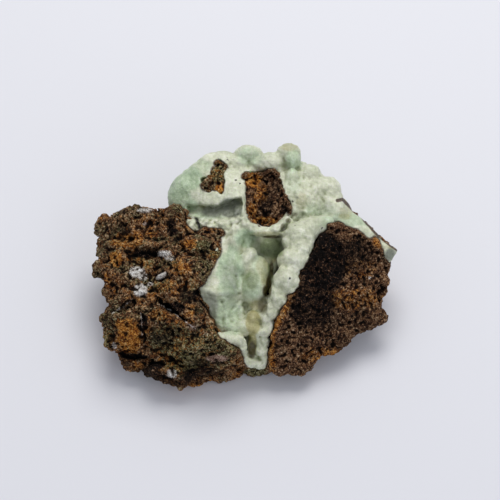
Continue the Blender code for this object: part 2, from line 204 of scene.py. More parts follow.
SHEET = [
    ((-5.0, 0.0, 18.6), (6.8, 9.0, 4.0), (4, 26, 0)), ((-7.0, -8.0, 16.2), (7.0, 7.5, 4.8), (20, 26, 0)),
    ((-2.0, 6.0, 20.5), (6.5, 5.0, 4.4), (0, 10, 0)), ((-4.4, -15.5, 12.6), (5.2, 6.0, 4.4), (38, 26, 0)),
    ((1.0, -21.0, 6.6), (4.0, 4.0, 3.4), (45, 0, 0)), ((0.4, -10.0, 13.0), (4.4, 8.0, 3.8), (15, 14, 0)),
    ((6.0, 4.6, 17.2), (5.4, 5.2, 4.6)), ((6.0, 0.4, 17.0), (2.4, 3.6, 2.4)),
    ((5.2, -4.2, 16.8), (2.2, 3.6, 2.2)), ((3.0, -10.0, 16.4), (3.2, 3.2, 2.2)),
    ((1.2, -21.4, 10.2), (1.8, 3.6, 1.8), (50, 0, 0)),
]
BULBS = [
    ((0.9, 2.9, 23.6), (1.8, 1.8, 1.8)), ((-0.5, 1.5, 23.3), (1.6, 1.9, 1.7)),
    ((-1.9, -0.2, 22.6), (1.5, 2.0, 1.6)), ((2.1, -3.7, 19.5), (3.5, 6.5, 3.9), (0, 0, 8)),
    ((3.2, -1.4, 20.1), (2.9, 4.4, 3.3), (0, 0, 8)), ((1.2, -6.6, 18.6), (3.2, 3.8, 3.4)),
    ((1.5, -14.1, 16.2), (2.2, 2.2, 2.1)), ((2.0, -17.0, 14.4), (1.8, 2.9, 2.2)),
    ((2.8, -13.0, 16.0), (1.2, 1.4, 1.3)), ((-1.2, -16.5, 15.6), (2.2, 2.2, 2.1)),
    ((-4.0, -16.6, 15.4), (2.5, 1.9, 1.8)),
]
# Rows of lumps: across, up, height and radius of each.
BAND = [
    (21.5, 11.2, 26.8, 1.8), (18.6, 10.2, 26.6, 2.9), (16.0, 9.2, 26.2, 3.3), (14.4, 6.0, 25.6, 3.7),
    (12.8, 2.8, 24.8, 3.5), (11.2, -0.4, 23.6, 3.3), (9.8, -3.6, 22.6, 2.9), (8.6, -6.8, 21.2, 2.5),
    (7.2, -9.8, 19.6, 2.2), (5.9, -12.8, 17.8, 1.9), (4.9, -15.8, 15.8, 1.7), (4.3, -18.8, 13.4, 1.7),
    (4.1, -21.4, 11.4, 1.8), (3.9, -23.7, 9.4, 1.6), (4.1, -25.6, 7.8, 1.5),
]
BAND_LUMPS = [
    ((13.4, 7.6, 26.1), (4.2, 3.9, 4.0)), ((16.2, 10.4, 26.9), (2.9, 2.2, 2.6)),
    ((18.8, 10.8, 27.0), (2.2, 1.7, 2.0)), ((11.3, 1.3, 24.9), (3.9, 3.0, 3.5)),
    ((15.0, 1.8, 25.3), (1.6, 1.5, 1.5)), ((9.8, -3.9, 22.9), (3.4, 3.0, 3.2)),
    ((12.3, -4.6, 22.6), (1.8, 1.8, 1.8)), ((8.1, -8.9, 20.6), (2.4, 2.3, 2.4)),
    ((6.6, -12.3, 18.3), (2.0, 1.9, 2.0)),
]
FRONT_RIM = [
    (-7.2, -18.6, 17.5, 1.2), (-5.6, -18.9, 17.1, 1.3), (-4.2, -19.1, 16.6, 1.4), (-2.9, -19.5, 15.9, 1.5),
    (-2.0, -20.2, 15.1, 1.6), (-1.6, -21.2, 14.0, 1.5), (-1.3, -22.5, 12.6, 1.3), (-1.1, -23.8, 11.0, 1.1),
    (-0.7, -24.9, 9.4, 1.2), (0.3, -25.6, 8.4, 1.3), (1.7, -26.0, 8.0, 1.4), (3.2, -26.2, 7.6, 1.4),
]
WINDOW_RIM = [
    (-2.6, 18.0, 28.4, 1.5), (-2.0, 14.4, 28.0, 1.6), (-0.2, 10.9, 26.8, 1.6), (1.6, 9.6, 26.6, 1.6),
    (3.8, 8.9, 26.4, 1.6), (6.4, 8.7, 26.4, 1.6), (8.6, 9.6, 26.8, 1.6), (10.6, 11.4, 27.2, 1.5),
]
WHITE_LEDGE = [
    (-15.0, 10.4, 24.0, 1.5), (-13.2, 10.0, 24.6, 1.7), (-10.6, 10.3, 24.8, 1.6), (-8.2, 9.9, 25.0, 1.6),
    (-5.8, 10.4, 25.2, 1.7), (-3.8, 9.6, 25.0, 1.8), (-1.6, 8.6, 24.8, 1.9), (-3.6, 5.6, 23.8, 1.9),
]
# Corners of the solids that have flat faces: across, up and height of each.
VALLEY_SIDE = [
    (-6.4, 9.6, 25.4), (-1.0, 8.6, 24.6), (-7.8, 4.0, 24.2), (-10.4, -1.6, 23.4), (-13.4, -5.6, 23.6),
    (-12.9, -7.0, 23.0), (-6.2, -7.9, 21.9), (-2.2, -5.9, 21.0), (0.5, 0.0, 21.4), (-10.4, -13.2, 17.6),
    (-9.0, -16.6, 15.6), (-6.6, -18.6, 14.6), (-1.6, -17.4, 12.6), (0.6, -9.0, 15.6), (-6.0, -1.0, 12.0),
    (-6.0, -12.0, 8.0), (0.0, -12.0, 7.0), (-1.0, 5.0, 14.0),
]
RIGHT_BANK = [
    (19.5, 13.6, 27), (24.2, 17.2, 25), (30.0, 13.2, 22.8), (35.2, 8.0, 21.2), (36.4, 6.4, 19.6),
    (35.6, 3.4, 19.2), (32.0, 8.4, 22.2), (26.5, 11.4, 25.6), (20.0, 11.0, 20), (30.0, 8.5, 14),
    (36.4, 3.0, 12), (26.0, 13.0, 14),
]
TIP = [
    (35.4, 6.8, 19.4), (37.0, 6.4, 19.8), (40.2, 4.1, 18.6), (39.2, 2.2, 18.2), (38.2, 0.4, 17.4),
    (37.0, 2.4, 19.2), (35.8, 4.2, 20.0), (36.0, 1.0, 13.0), (38.6, 3.0, 13.0), (37.4, 4.4, 20.6),
]
print("noted", len(DOME + KNOBS + SHEET + BULBS + BAND_LUMPS), "swellings and",
      len(BAND + WHITE_LEDGE + FRONT_RIM + WINDOW_RIM), "lumps in rows")

# %% [markdown]
# A few steps recur, so they are kept as helpers, here and in later cells just before their first use. These
# add a lump, a row of lumps or a flat-faced solid, join objects, and make what overlaps one skin.

# %% Steps for solid forms
rng = random.Random(11)


def only_select(obj):
    bpy.ops.object.select_all(action="DESELECT")
    obj.select_set(True)
    bpy.context.view_layer.objects.active = obj


def remesh(obj, grain, rounding=0):
    """Makes what overlaps in obj one skin with this grain in millimetres, and rounds it a little."""
    only_select(obj)
    bpy.ops.object.modifier_add(type="REMESH")
    obj.modifiers[-1].mode = "VOXEL"
    obj.modifiers[-1].voxel_size = grain * MM
    bpy.ops.object.modifier_apply(modifier=obj.modifiers[-1].name)
    if rounding:
        bpy.ops.object.modifier_add(type="SMOOTH")
        obj.modifiers[-1].iterations = rounding
        bpy.ops.object.modifier_apply(modifier=obj.modifiers[-1].name)


def add_swelling(place, radii, turn=(0, 0, 0), detail=4):
    """Adds one icosphere at a noted place, stretched and turned, and returns its object."""
    bpy.ops.mesh.primitive_ico_sphere_add(
        subdivisions=detail,
        radius=MM,
        location=seen(*place) * MM,
        rotation=[math.radians(angle) for angle in turn],
        scale=radii,
    )
    return bpy.context.object


def add_row(row, jitter):
    """Adds lumps along a row, with one more between each two."""
    made = []
    for here, after in zip(row, row[1:] + row[-1:]):
        for share in (0.0, 0.5):
            across, up, height, radius = [a + (b - a) * share for a, b in zip(here, after)]
            shift = [rng.uniform(-jitter, jitter) for _ in range(3)]
            size = radius * rng.uniform(0.88, 1.06)
            place = (across + shift[0], up + shift[1], height + shift[2])
            made.append(add_swelling(place, (size, size, size), detail=3))
    return made


def add_hull(corners, name):
    """The convex solid around some noted corners."""
    solid = bpy.data.objects.new(name, bpy.data.meshes.new(name))
    bpy.context.scene.collection.objects.link(solid)
    form = bmesh.new()
    hull = bmesh.ops.convex_hull(form, input=[form.verts.new(seen(*corner) * MM) for corner in corners])
    spare = [v for v in hull["geom_interior"] if isinstance(v, bmesh.types.BMVert)]
    bmesh.ops.delete(form, geom=list(set(spare)), context="VERTS")
    form.to_mesh(solid.data)
    form.free()
    return solid


def join(objects, name):
    """Joins objects into one that sits at the origin with its place in its mesh."""
    bpy.ops.object.select_all(action="DESELECT")
    for obj in objects:
        obj.select_set(True)
    bpy.context.view_layer.objects.active = objects[0]
    bpy.ops.object.join()
    bpy.ops.object.transform_apply(location=True, rotation=True, scale=True)
    bpy.context.object.name = name
    return bpy.context.object


print("a lump of detail 3 has", 20 * 4 ** 2, "faces, and one of detail 4 has", 20 * 4 ** 3)

# %% [markdown]
# The noted forms are heaped up, with small shifts from one seed so that the rows don't look strung. The back
# of the dome isn't in view, so its lumps are spread evenly by a spiral. A coarse remesh joins the heap.

# %% The large forms heaped up
HEAP_GRAIN = 0.45
LOWEST_LUMP = 3.5

swellings = [add_swelling(*entry) for entry in DOME + SHEET + KNOBS + BULBS + BAND_LUMPS]
for row, jitter in ((BAND, 0.4), (WHITE_LEDGE, 0.5), (FRONT_RIM, 0.2), (WINDOW_RIM, 0.2)):
    swellings += add_row(row, jitter)
swellings += [add_hull(VALLEY_SIDE, "valley_side"), add_hull(RIGHT_BANK, "bank"), add_hull(TIP, "tip")]

# Lumps spread over the back of the dome's two main swellings, by equal turns of a spiral.
BACK_LUMPS = 90
turn = math.pi * (3.0 - math.sqrt(5.0))
for index in range(BACK_LUMPS):
    place, radii = DOME[index % 2]
    level = 1.0 - 2.0 * (index + 0.5) / BACK_LUMPS
    flat = math.sqrt(1.0 - level * level)
    out = Vector((flat * math.cos(turn * index), flat * math.sin(turn * index), level))
    size = rng.uniform(2.2, 4.2)
    centre = seen(*place) + Vector([o * (r - 0.62 * size) for o, r in zip(out, radii)])
    if out.y > 0.25 and out.z < 0.8 and centre.z > size + LOWEST_LUMP:
        bpy.ops.mesh.primitive_ico_sphere_add(subdivisions=3, radius=size * MM, location=centre * MM)
        swellings.append(bpy.context.object)

print("swellings", len(swellings))
crust = join(swellings, "aragonite_skin")
remesh(crust, HEAP_GRAIN)

# %% [markdown]
# Small forms and stains are noted as soft round marks on the view. These helpers read a mesh's points, say
# how strongly marks cover them, round a mesh off under marks, and find the front that is seen at a place.

# %% Marks on the view


def points_of(obj):
    """The places of a mesh's points in millimetres, and their normals."""
    count = len(obj.data.vertices)
    places = np.empty(count * 3, np.float32)
    normals = np.empty(count * 3, np.float32)
    obj.data.vertices.foreach_get("co", places)
    obj.data.vertices.foreach_get("normal", normals)
    return places.reshape(-1, 3) / MM, normals.reshape(-1, 3)


def smooth_step(values):
    values = np.clip(values, 0.0, 1.0)
    return values * values * (3.0 - 2.0 * values)


def spots(where, marks):
    """How strongly marks of (across, up, half width, half height, strength) cover each place in the view."""
    cover = np.zeros(len(where))
    for across, up, wide, high, strength in marks:
        reach = np.hypot((where[:, 0] - across) / wide, (where[:, 1] - up) / high)
        cover = np.maximum(cover, strength * (1.0 - smooth_step((reach - 0.55) / 0.75)))
    return cover


def soften(obj, marks, rounds):
    """Rounds a mesh off where marks cover it in the view, as a smoothing brush does."""
    places, _normals = points_of(obj)
    cover = spots(as_seen(places), marks)
    brushed = obj.vertex_groups.new(name="brushed")
    for index in np.flatnonzero(cover > 0.02):
        brushed.add([int(index)], float(cover[index]), "REPLACE")
    only_select(obj)
    bpy.ops.object.modifier_add(type="SMOOTH")
    obj.modifiers[-1].iterations = rounds
    obj.modifiers[-1].vertex_group = brushed.name
    bpy.ops.object.modifier_apply(modifier=obj.modifiers[-1].name)
    obj.vertex_groups.clear()


def front_of(obj):
    """A finder of the place, in millimetres, that is seen on an object's front at (across, up)."""
    tree = BVHTree.FromObject(obj, bpy.context.evaluated_depsgraph_get())

    def find(across, up):
        start = seen(across, up, MID_HEIGHT) + towards_camera * 200
        hit = tree.ray_cast(start * MM, -towards_camera)[0]
        return hit and hit / MM

    return find


middle_and_rim = np.array([(0.0, 0.0), (1.0, 0.0)])
print("a mark covers its middle and its rim by", spots(middle_and_rim, [(0, 0, 1, 1, 1.0)]).round(2))

# %% [markdown]
# Smaller lumps are laid on the large forms as a hand would press clay on: each one is put where it is seen,
# turned to face the view, and stands out by a noted amount.

# %% The crust's smaller lumps
CRUST_GRAIN = 0.3
FLOWING_ROUNDS = 50

# Across, up, half width, half height, how far it stands out, and its turn in the view.
LUMPS = [
    (-17.0, 18.4, 4.9, 5.2, 0.2, 0), (-15.4, 20.4, 5.4, 4.8, 0.2, 0), (-12.0, 23.8, 4.9, 4.6, 0.2, 0),
    (-9.6, 26.0, 4.4, 4.2, 0.2, 0), (-6.4, 26.8, 4.6, 4.0, 0.3, 0), (-3.0, 26.6, 4.0, 3.8, 0.4, 0),
    (16.4, 24.4, 3.5, 3.0, 0.4, 0), (21.2, 20.2, 4.0, 3.6, 0.4, 10), (14.3, 17.4, 2.6, 4.0, 0.8, 8),
    (17.8, 19.9, 3.2, 3.0, 0.5, 0), (12.2, 22.4, 2.4, 3.4, 0.5, 0), (12.9, 13.4, 1.8, 1.6, 0.5, 0),
    (9.4, 25.6, 1.9, 2.0, 0.5, 0), (3.0, 27.4, 2.6, 1.7, 0.4, 0), (15.4, 14.4, 1.6, 1.4, 0.4, 0),
    (-2.9, -11.2, 0.7, 2.2, 0.5, -42), (-2.9, -14.7, 0.7, 1.7, 0.5, 40), (-1.7, -13.2, 0.8, 2.6, 0.5, 0),
    (-5.4, -15.4, 1.4, 1.8, 0.3, 0), (-6.0, -12.6, 1.0, 2.4, 0.25, 10), (-14.9, 10.2, 1.1, 1.9, 0.9, -10),
    (-3.6, 11.4, 2.0, 1.4, 0.8, 0), (-7.2, 10.8, 1.6, 1.0, 0.7, 0), (-5.2, 8.6, 1.2, 1.6, 0.5, 0),
    (-11.0, 11.4, 1.3, 0.8, 0.6, 0), (8.8, 4.0, 1.6, 1.8, 0.5, 0), (14.4, 4.2, 1.8, 1.6, 0.4, 0),
    (7.0, -7.0, 1.5, 1.6, 0.4, 0), (11.2, -6.4, 1.5, 1.3, 0.4, 0), (5.9, -10.9, 1.1, 1.2, 0.4, 0),
    (7.8, -11.2, 1.2, 1.1, 0.3, 0), (4.6, -14.2, 0.9, 1.1, 0.4, 0), (5.6, -16.6, 1.0, 1.3, 0.4, 0),
    (4.6, -20.6, 1.0, 1.2, 0.4, 0), (4.4, -24.4, 1.0, 1.0, 0.4, 0), (-2.5, -19.6, 1.5, 1.3, 0.8, 0),
    (-1.3, -21.8, 1.0, 1.4, 0.6, 0), (-4.8, -19.5, 1.4, 1.0, 0.7, -14), (-6.9, -18.9, 1.3, 0.8, 0.5, -20),
    (9.4, -1.8, 1.6, 1.8, 0.4, 0), (8.0, -4.6, 1.3, 1.4, 0.5, 0), (10.8, 6.2, 1.8, 2.0, 0.4, 0),
    (1.0, -16.9, 1.3, 1.5, 0.4, 0), (2.6, -17.6, 0.9, 1.4, 0.4, 0), (-3.8, 3.6, 1.2, 1.6, 0.3, 0),
]
find = front_of(crust)
facing_view = Matrix.Rotation(math.pi / 2 - VIEW_TILT, 3, "X")
lumps = []
for across, up, wide, high, rise, turn in LUMPS:
    depth = (wide + high) / 2
    centre = find(across, up) + towards_camera * (rise - depth)
    bpy.ops.mesh.primitive_ico_sphere_add(
        subdivisions=4, radius=MM, location=centre * MM, scale=(wide, high, depth)
    )
    turned = facing_view @ Matrix.Rotation(math.radians(turn), 3, "Z")
    bpy.context.object.rotation_euler = turned.to_euler()
    lumps.append(bpy.context.object)
crust = join([crust] + lumps, "aragonite_skin")
remesh(crust, CRUST_GRAIN)

# Where the lumps flow into each other with hardly a crease, as they are seen.
FLOWING = [
    (-17.0, 20.0, 6.5, 7.5, 1.0), (-11.5, 26.5, 5.0, 4.0, 0.8), (19.5, 20.5, 7.0, 6.5, 0.7),
    (13.5, 20.0, 3.0, 6.0, 0.4), (2.9, -4.2, 3.2, 5.6, 0.4), (6.2, 4.8, 3.4, 4.0, 1.0),
    (-7.0, -2.0, 4.6, 10.0, 0.5), (26.0, 12.0, 6.0, 4.0, 0.6),
]
soften(crust, FLOWING, FLOWING_ROUNDS)
print("crust points", len(crust.data.vertices))

# %% [markdown]
# Ragged edges come from layered noise, whose waves are given in millimetres. Cracks, folds and borders are
# noted as paths and outlines on the view, and these helpers measure how far from them a place is seen.

# %% Noise, paths and outlines


def fractal(places, wavelength, octaves, shift=0.0):
    """Layered noise at each place, about -1 to 1, of a wavelength in millimetres."""
    offset = Vector((shift, shift * 2.0, shift * 3.0))
    return np.array([noise.fractal(Vector(p) / wavelength + offset, 1.0, 2.0, octaves) for p in places])


def near_line(where, start, end):
    """How far each place in the view is from the line between two others."""
    along = np.array(end) - np.array(start)
    share = np.clip(((where - start) @ along) / (along @ along), 0, 1)
    return np.hypot(*(where - start - share[:, None] * along).T)


def near_path(where, path):
    """How far each place in the view is from a path through several others."""
    return np.min([near_line(where, start, end) for start, end in zip(path, path[1:])], axis=0)


def inside_outline(where, outline):
    """How far inside a closed outline each place in the view is; outside, the distance is under 0."""
    within = np.zeros(len(where), bool)
    for (x0, y0), (x1, y1) in zip(outline, outline[1:] + outline[:1]):
        spans = (y0 > where[:, 1]) != (y1 > where[:, 1])
        crossing = x0 + (where[:, 1] - y0) * (x1 - x0) / (y1 - y0 if y1 != y0 else 1.0)
        within ^= spans & (where[:, 0] < crossing)
    distance = near_path(where, outline + outline[:1])
    return np.where(within, distance, -distance)


square = [(0, 0), (4, 0), (4, 4), (0, 4)]
print("the middle of a 4 mm square is", inside_outline(np.array([(2.0, 2.0)]), square)[0], "mm inside it")

# %% [markdown]
# Hollows are pressed in the same way: inside an outline drawn on the view, the front of the crust is moved
# away from the eye. The two windows, through which the stone shows, the shaded ledge under the lip and the
# dark slit below it are such hollows. Noise makes their edges ragged.

# %% The crust's hollows
SMALL_WINDOW = [
    (-8.1, 28.4), (-7.0, 28.2), (-5.9, 26.9), (-5.8, 25.3), (-6.5, 24.0), (-6.1, 22.4), (-6.4, 20.6),
    (-6.5, 18.9), (-7.5, 19.1), (-8.5, 20.4), (-9.4, 20.0), (-10.0, 19.3), (-11.0, 19.6), (-11.6, 20.6),
    (-12.5, 22.5), (-12.2, 23.6), (-11.0, 23.5), (-10.2, 22.6), (-9.4, 22.2), (-9.3, 23.4), (-10.1, 24.4),
    (-9.3, 25.4), (-8.7, 26.4), (-8.5, 27.4),
]
LARGE_WINDOW = [
    (-1.4, 23.9), (-0.5, 24.9), (2.0, 25.2), (5.1, 25.7), (7.2, 25.0), (7.7, 24.2), (8.9, 21.7),
    (10.0, 18.6), (11.4, 16.4), (11.3, 14.4), (9.6, 13.2), (8.4, 11.7), (6.9, 11.0), (3.4, 10.8),
    (0.9, 11.5), (0.0, 13.0), (-0.2, 16.4), (-0.5, 21.0),
]
LIP_SHADE = [
    (-16.4, 16.0), (-13.1, 16.2), (-10.0, 15.8), (-7.9, 15.9), (-5.8, 16.6), (-3.7, 17.7), (-1.9, 18.1),
    (-1.5, 16.4), (-1.6, 14.3), (-1.6, 12.8), (-3.7, 12.4), (-6.5, 12.8), (-9.3, 12.1), (-11.4, 12.8),
    (-14.2, 13.2), (-16.2, 13.6),
]
SLIT = [(-14.3, 12.8), (-13.4, 12.7), (-12.7, 11.2), (-12.3, 9.6), (-13.2, 9.6), (-13.5, 11.0)]
# Each outline, its depth at its top and at its bottom, and the width of its slope.
HOLLOWS_IN_CRUST = [
    (SMALL_WINDOW, 2.2, 2.2, 0.3), (LARGE_WINDOW, 2.4, 2.4, 0.3), (LIP_SHADE, 4.6, 0.3, 0.7),
    (SLIT, 2.0, 2.0, 0.3),
]

whole_front = front_of(crust)
places, normals = points_of(crust)
where = as_seen(places)
ragged = np.column_stack([fractal(places, 2.2, 3, shift) for shift in (1.0, 6.0)])
deeper = np.zeros(len(places))
for outline, top_depth, bottom_depth, slope in HOLLOWS_IN_CRUST:
    inside = inside_outline(where + ragged * 0.35, outline)
    top, bottom = max(up for _across, up in outline), min(up for _across, up in outline)
    depth = bottom_depth + (top_depth - bottom_depth) * np.clip((where[:, 1] - bottom) / (top - bottom), 0, 1)
    deeper = np.maximum(deeper, depth * smooth_step(inside / slope + 0.3))
deeper *= normals @ to_eye > 0.05
print("crust points pressed in", int((deeper > 0).sum()))
pressed = (places - to_eye * deeper[:, None]) * MM
crust.data.vertices.foreach_set("co", pressed.astype(np.float32).ravel())
crust.data.update()
remesh(crust, CRUST_GRAIN, 1)

# %% [markdown]
# The stone. Real limonite breaks into a rough, spongy surface of rusty grains under a millimetre across,
# with dark pores between them. The CAD solid already has the block's ledges and cracks, so the fine surface
# starts from a copy of it, with lumps for its ragged foot and for the arm that reaches under the white ledge.
# All of it is merged and remeshed to an even grain.

# %% The stone's form
STONE_GRAIN = 0.32
FOOT_AND_ARM = [
    ((2.6, -26.6, 3.2), (4.6, 2.4, 3.2)), ((-13.8, -29.0, 2.4), (5.0, 3.4, 2.6)),
    ((-6.6, -28.2, 2.4), (5.4, 2.8, 2.6)), ((-9.0, 8.5, 23.6), (3.2, 1.3, 1.4)),
    ((-8.9, 4.9, 23.4), (1.6, 1.6, 1.4)),
]


def copy_of_node(node, name):
    """A new object with its own merged copy of a CAD node's mesh."""
    copy = bpy.data.objects.new(name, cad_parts[node].data.copy())
    bpy.context.scene.collection.objects.link(copy)
    copy.data.materials.clear()
    only_select(copy)
    bpy.ops.object.mode_set(mode="EDIT")
    bpy.ops.mesh.select_all(action="SELECT")
    bpy.ops.mesh.remove_doubles(threshold=0.002 * MM)
    bpy.ops.object.mode_set(mode="OBJECT")
    return copy


stone = copy_of_node("limonite_matrix", "limonite_stone")
stone = join([stone] + [add_swelling(*entry) for entry in FOOT_AND_ARM], "limonite_stone")
remesh(stone, STONE_GRAIN, 3)
print("stone points", len(stone.data.vertices))

# %% [markdown]
# Where the crust ends on the stone is the specimen's drawing, so its edge is noted as an outline too. Near it
# each point of the stone's front is moved along the line of sight: inside the outline to behind the crust's
# front, where it is hidden, and outside it to before the crust. In the windows it stays just behind the
# front, and so at the bottom of the hollows pressed there.

# %% The crust's edge
CRUST_EDGE = [
    (-24.0, 16.0), (-21.9, 16.0), (-20.2, 16.4), (-18.4, 15.7), (-17.2, 14.3), (-17.0, 12.5), (-16.5, 10.8),
    (-15.2, 9.4), (-13.8, 8.3), (-12.6, 9.4), (-11.7, 9.9), (-9.3, 10.1), (-7.2, 9.6), (-5.9, 9.0),
    (-6.0, 7.8), (-6.8, 6.2), (-6.5, 4.7), (-7.4, 3.2), (-7.6, 2.0), (-9.0, 0.1), (-9.9, -1.8),
    (-11.0, -4.0), (-12.7, -6.1), (-12.6, -9.3), (-11.0, -11.8), (-9.0, -14.6), (-8.7, -16.9),
    (-7.2, -19.3), (-4.2, -20.7), (-2.1, -22.2), (-1.4, -23.9), (-1.0, -26.0), (1.1, -27.3), (5.4, -27.7),
    (5.4, -22.9), (6.2, -19.2), (6.4, -16.9), (7.9, -13.9), (9.8, -11.2), (11.8, -8.6), (13.2, -6.7),
    (13.8, -4.8), (14.5, -1.8), (15.8, 0.9), (16.9, 3.5), (18.2, 6.2), (19.4, 8.0), (21.5, 9.6),
    (21.1, 10.9), (21.6, 11.8), (23.6, 12.0), (25.2, 11.7), (26.4, 11.0), (28.5, 10.1), (30.6, 8.5),
    (32.2, 6.8), (33.0, 6.9), (34.1, 7.6), (35.2, 6.9), (35.9, 4.8), (36.6, 2.4), (37.6, 0.6), (38.4, 0.0),
    (42.0, 3.0), (40.0, 10.0), (20.0, 40.0), (-20.0, 40.0), (-28.0, 20.0),
]
print("the crust's edge has", len(CRUST_EDGE), "corners")

# %% [markdown]
# The steps along the line of sight are worked out point by point. Beside the edge they run out gently over
# the mesh's neighbours, because a sudden end would leave a groove in the stone.

# %% The stone fitted to the crust's edge
# How far behind the crust's front the stone lies in a window and elsewhere under the crust, how wide the
# change from one to the other is, how far before the front it stands beside the edge, and how far behind
# the front a point beside the edge may lie and still be raised, all in millimetres.
WINDOW_DEPTH = 0.6
BURIED_DEPTH = 2.6
WINDOW_BORDER = 0.6
EDGE_RISE = 0.7
EDGE_REACH = 5.5
RUN_OUT_ROUNDS = 30


def move_out(obj, pushes, directions=None):
    """Moves each point along its normal, or another direction, by its push in millimetres."""
    places, normals = points_of(obj)
    moved = (places + (normals if directions is None else directions) * pushes[:, None]) * MM
    obj.data.vertices.foreach_set("co", moved.astype(np.float32).ravel())
    obj.data.update()


def neighbour_mean(obj):
    """A function that gives each point of a mesh the mean of its neighbours' values."""
    count = len(obj.data.vertices)
    pairs = np.empty(len(obj.data.edges) * 2, np.int32)
    obj.data.edges.foreach_get("vertices", pairs)
    ends = pairs.reshape(-1, 2)
    shares = np.maximum(np.bincount(pairs, minlength=count), 1)

    def mean(values):
        total = np.bincount(ends[:, 0], values[ends[:, 1]], count)
        total += np.bincount(ends[:, 1], values[ends[:, 0]], count)
        return total / shares

    return mean


places, normals = points_of(stone)
where = as_seen(places)
ragged = np.column_stack([fractal(places, 2.2, 3, shift) for shift in (1.0, 6.0)])
window = np.maximum(*[inside_outline(where + 0.35 * ragged, w) for w in (SMALL_WINDOW, LARGE_WINDOW)])
covered = inside_outline(where + 0.35 * ragged, CRUST_EDGE)
towards = normals @ to_eye
near = (covered > -3.0) & (np.maximum(-covered, window) > -5.0) & (places[:, 2] > 2.0)
near &= towards > np.where((covered > 0) & (window < -WINDOW_BORDER), -0.6, 0.1)
pressed_front = front_of(crust)
steps = np.zeros(len(places))
for index in np.flatnonzero(near):
    front = (whole_front if window[index] > 0 else pressed_front)(*where[index])
    if front is None:
        continue
    behind = (front - Vector(places[index])).dot(towards_camera)
    if window[index] > 0:
        step = behind - WINDOW_DEPTH
    elif covered[index] > 0:
        depth = np.interp(window[index], [-WINDOW_BORDER, 0.0], [BURIED_DEPTH, WINDOW_DEPTH])
        step = min(0.0, behind - depth * min(1.0, covered[index] / 0.3))
    else:
        step = max(0.0, behind + EDGE_RISE) if behind < EDGE_REACH else 0.0
    steps[index] = step
# Away from the edge the raised strip runs out gently, so that no groove is left beside it.
mean = neighbour_mean(stone)
raised = np.maximum(steps, 0.0)
for _ in range(RUN_OUT_ROUNDS):
    raised = np.maximum(mean(raised), steps)
steps = np.where((covered <= 0) & (window <= 0), raised, steps)
print("stone points moved at the crust's edge", int((np.abs(steps) > 0.05).sum()))
move_out(stone, steps, to_eye)
remesh(stone, STONE_GRAIN, 1)
# The steps draw out thin spikes at the windows' upper edges. A light smoothing lowers them, and some stay.
soften(stone, [(-9.0, 23.6, 5.0, 6.4, 1.0), (5.0, 18.2, 9.0, 10.0, 1.0)], 5)

# %% [markdown]
# Each point of the stone is then moved out or in: by hummocks, hollows and cracks at their noted places, and
# by layered noise for ledges and grains. A sculpting brush would do the same, but couldn't be written down.
# What lies under the crust or against the floor stays plain, so that thinning the mesh takes it away first.

# %% The stone's fine surface
# Hummocks, and hollows with a rise under 0: across, up, half width, half height and rise of each.
HUMMOCKS = [
    (-20.6, 9.6, 2.6, 3.0, 1.5), (-20.0, 13.6, 3.4, 2.2, 0.8), (-16.0, -1.5, 4.4, 3.6, 1.2),
    (-14.0, 5.6, 3.8, 2.2, 0.9), (-30.0, 5.4, 8.0, 1.2, 0.8), (-33.0, 10.6, 3.0, 2.0, 0.7),
    (-31.5, -18.0, 3.2, 4.6, 0.7), (-10.0, -22.0, 8.0, 4.0, 0.6), (-20.0, -20.0, 5.0, 4.0, 0.4),
    (-24.6, -27.5, 3.0, 1.6, 0.8), (-36.0, -1.2, 2.0, 2.0, 0.6), (-21.6, 3.0, 2.4, 1.2, 0.9),
    (-8.0, -24.6, 3.4, 1.4, 0.5), (-28.6, -2.4, 2.2, 1.6, 0.7), (-29.0, 11.2, 2.4, 1.2, 0.5),
    (-22.0, -5.6, 4.0, 1.2, 0.6), (34.2, 5.6, 1.6, 1.6, 1.0), (23.4, 10.8, 2.4, 1.2, 0.9),
    (-19.0, -29.0, 2.2, 1.6, 0.7),
]
HOLLOWS = [
    (-26.4, 2.6, 4.6, 1.2, -1.0), (-24.6, -3.4, 2.0, 1.4, -0.6), (-13.2, -8.6, 3.0, 2.4, -0.7),
    (-34.4, -6.0, 3.0, 3.0, -0.5), (-12.2, -7.0, 1.3, 1.4, -2.4), (-24.0, -26.4, 2.6, 1.0, -0.9),
    (35.6, -7.4, 1.4, 2.4, -0.8), (-30.0, 1.8, 2.0, 1.2, -0.5),
]
# Cracks: their path, half width and rise.
CRACKS = [
    ([(-22.6, -9.4), (-20.4, -10.8), (-18.4, -12.2), (-16.6, -14.0)], 0.7, -1.6),
    ([(-35.7, -12.9), (-33.5, -11.6), (-31.6, -9.8), (-30.0, -9.2)], 0.4, -0.9),
    ([(-27.6, -13.0), (-27.0, -14.6), (-26.6, -16.6)], 0.4, -1.0),
    ([(-33.6, -23.5), (-30.0, -24.3), (-26.6, -24.3)], 0.5, -1.4),
]

# Ledges, in the same way.
LEDGES = [
    ([(-37.0, 5.4), (-32.4, 4.6), (-28.0, 5.8), (-23.6, 5.2), (-19.4, 6.2)], 1.1, 0.9),
    ([(-33.6, 12.6), (-29.6, 11.4), (-25.4, 12.4)], 0.9, 0.6),
    ([(-22.4, -9.0), (-18.6, -10.6), (-15.4, -12.8), (-12.6, -15.2)], 0.8, 0.8),
    ([(-36.4, -9.4), (-32.0, -8.0), (-28.4, -7.4), (-24.2, -8.2)], 0.9, 0.7),
    ([(-24.6, 3.4), (-21.6, 2.8), (-19.6, 0.6)], 0.7, 0.7), ([(-27.8, -12.6), (-27.6, -18.4)], 0.5, 0.7),
    ([(-26.6, -23.4), (-22.4, -24.8), (-18.8, -27.2), (-16.0, -29.0)], 0.8, 0.7),
    ([(-23.9, -3.7), (-21.6, -2.4)], 0.6, 0.8),
]
print("noted", len(HUMMOCKS), "hummocks,", len(HOLLOWS), "hollows and", len(CRACKS + LEDGES), "paths")

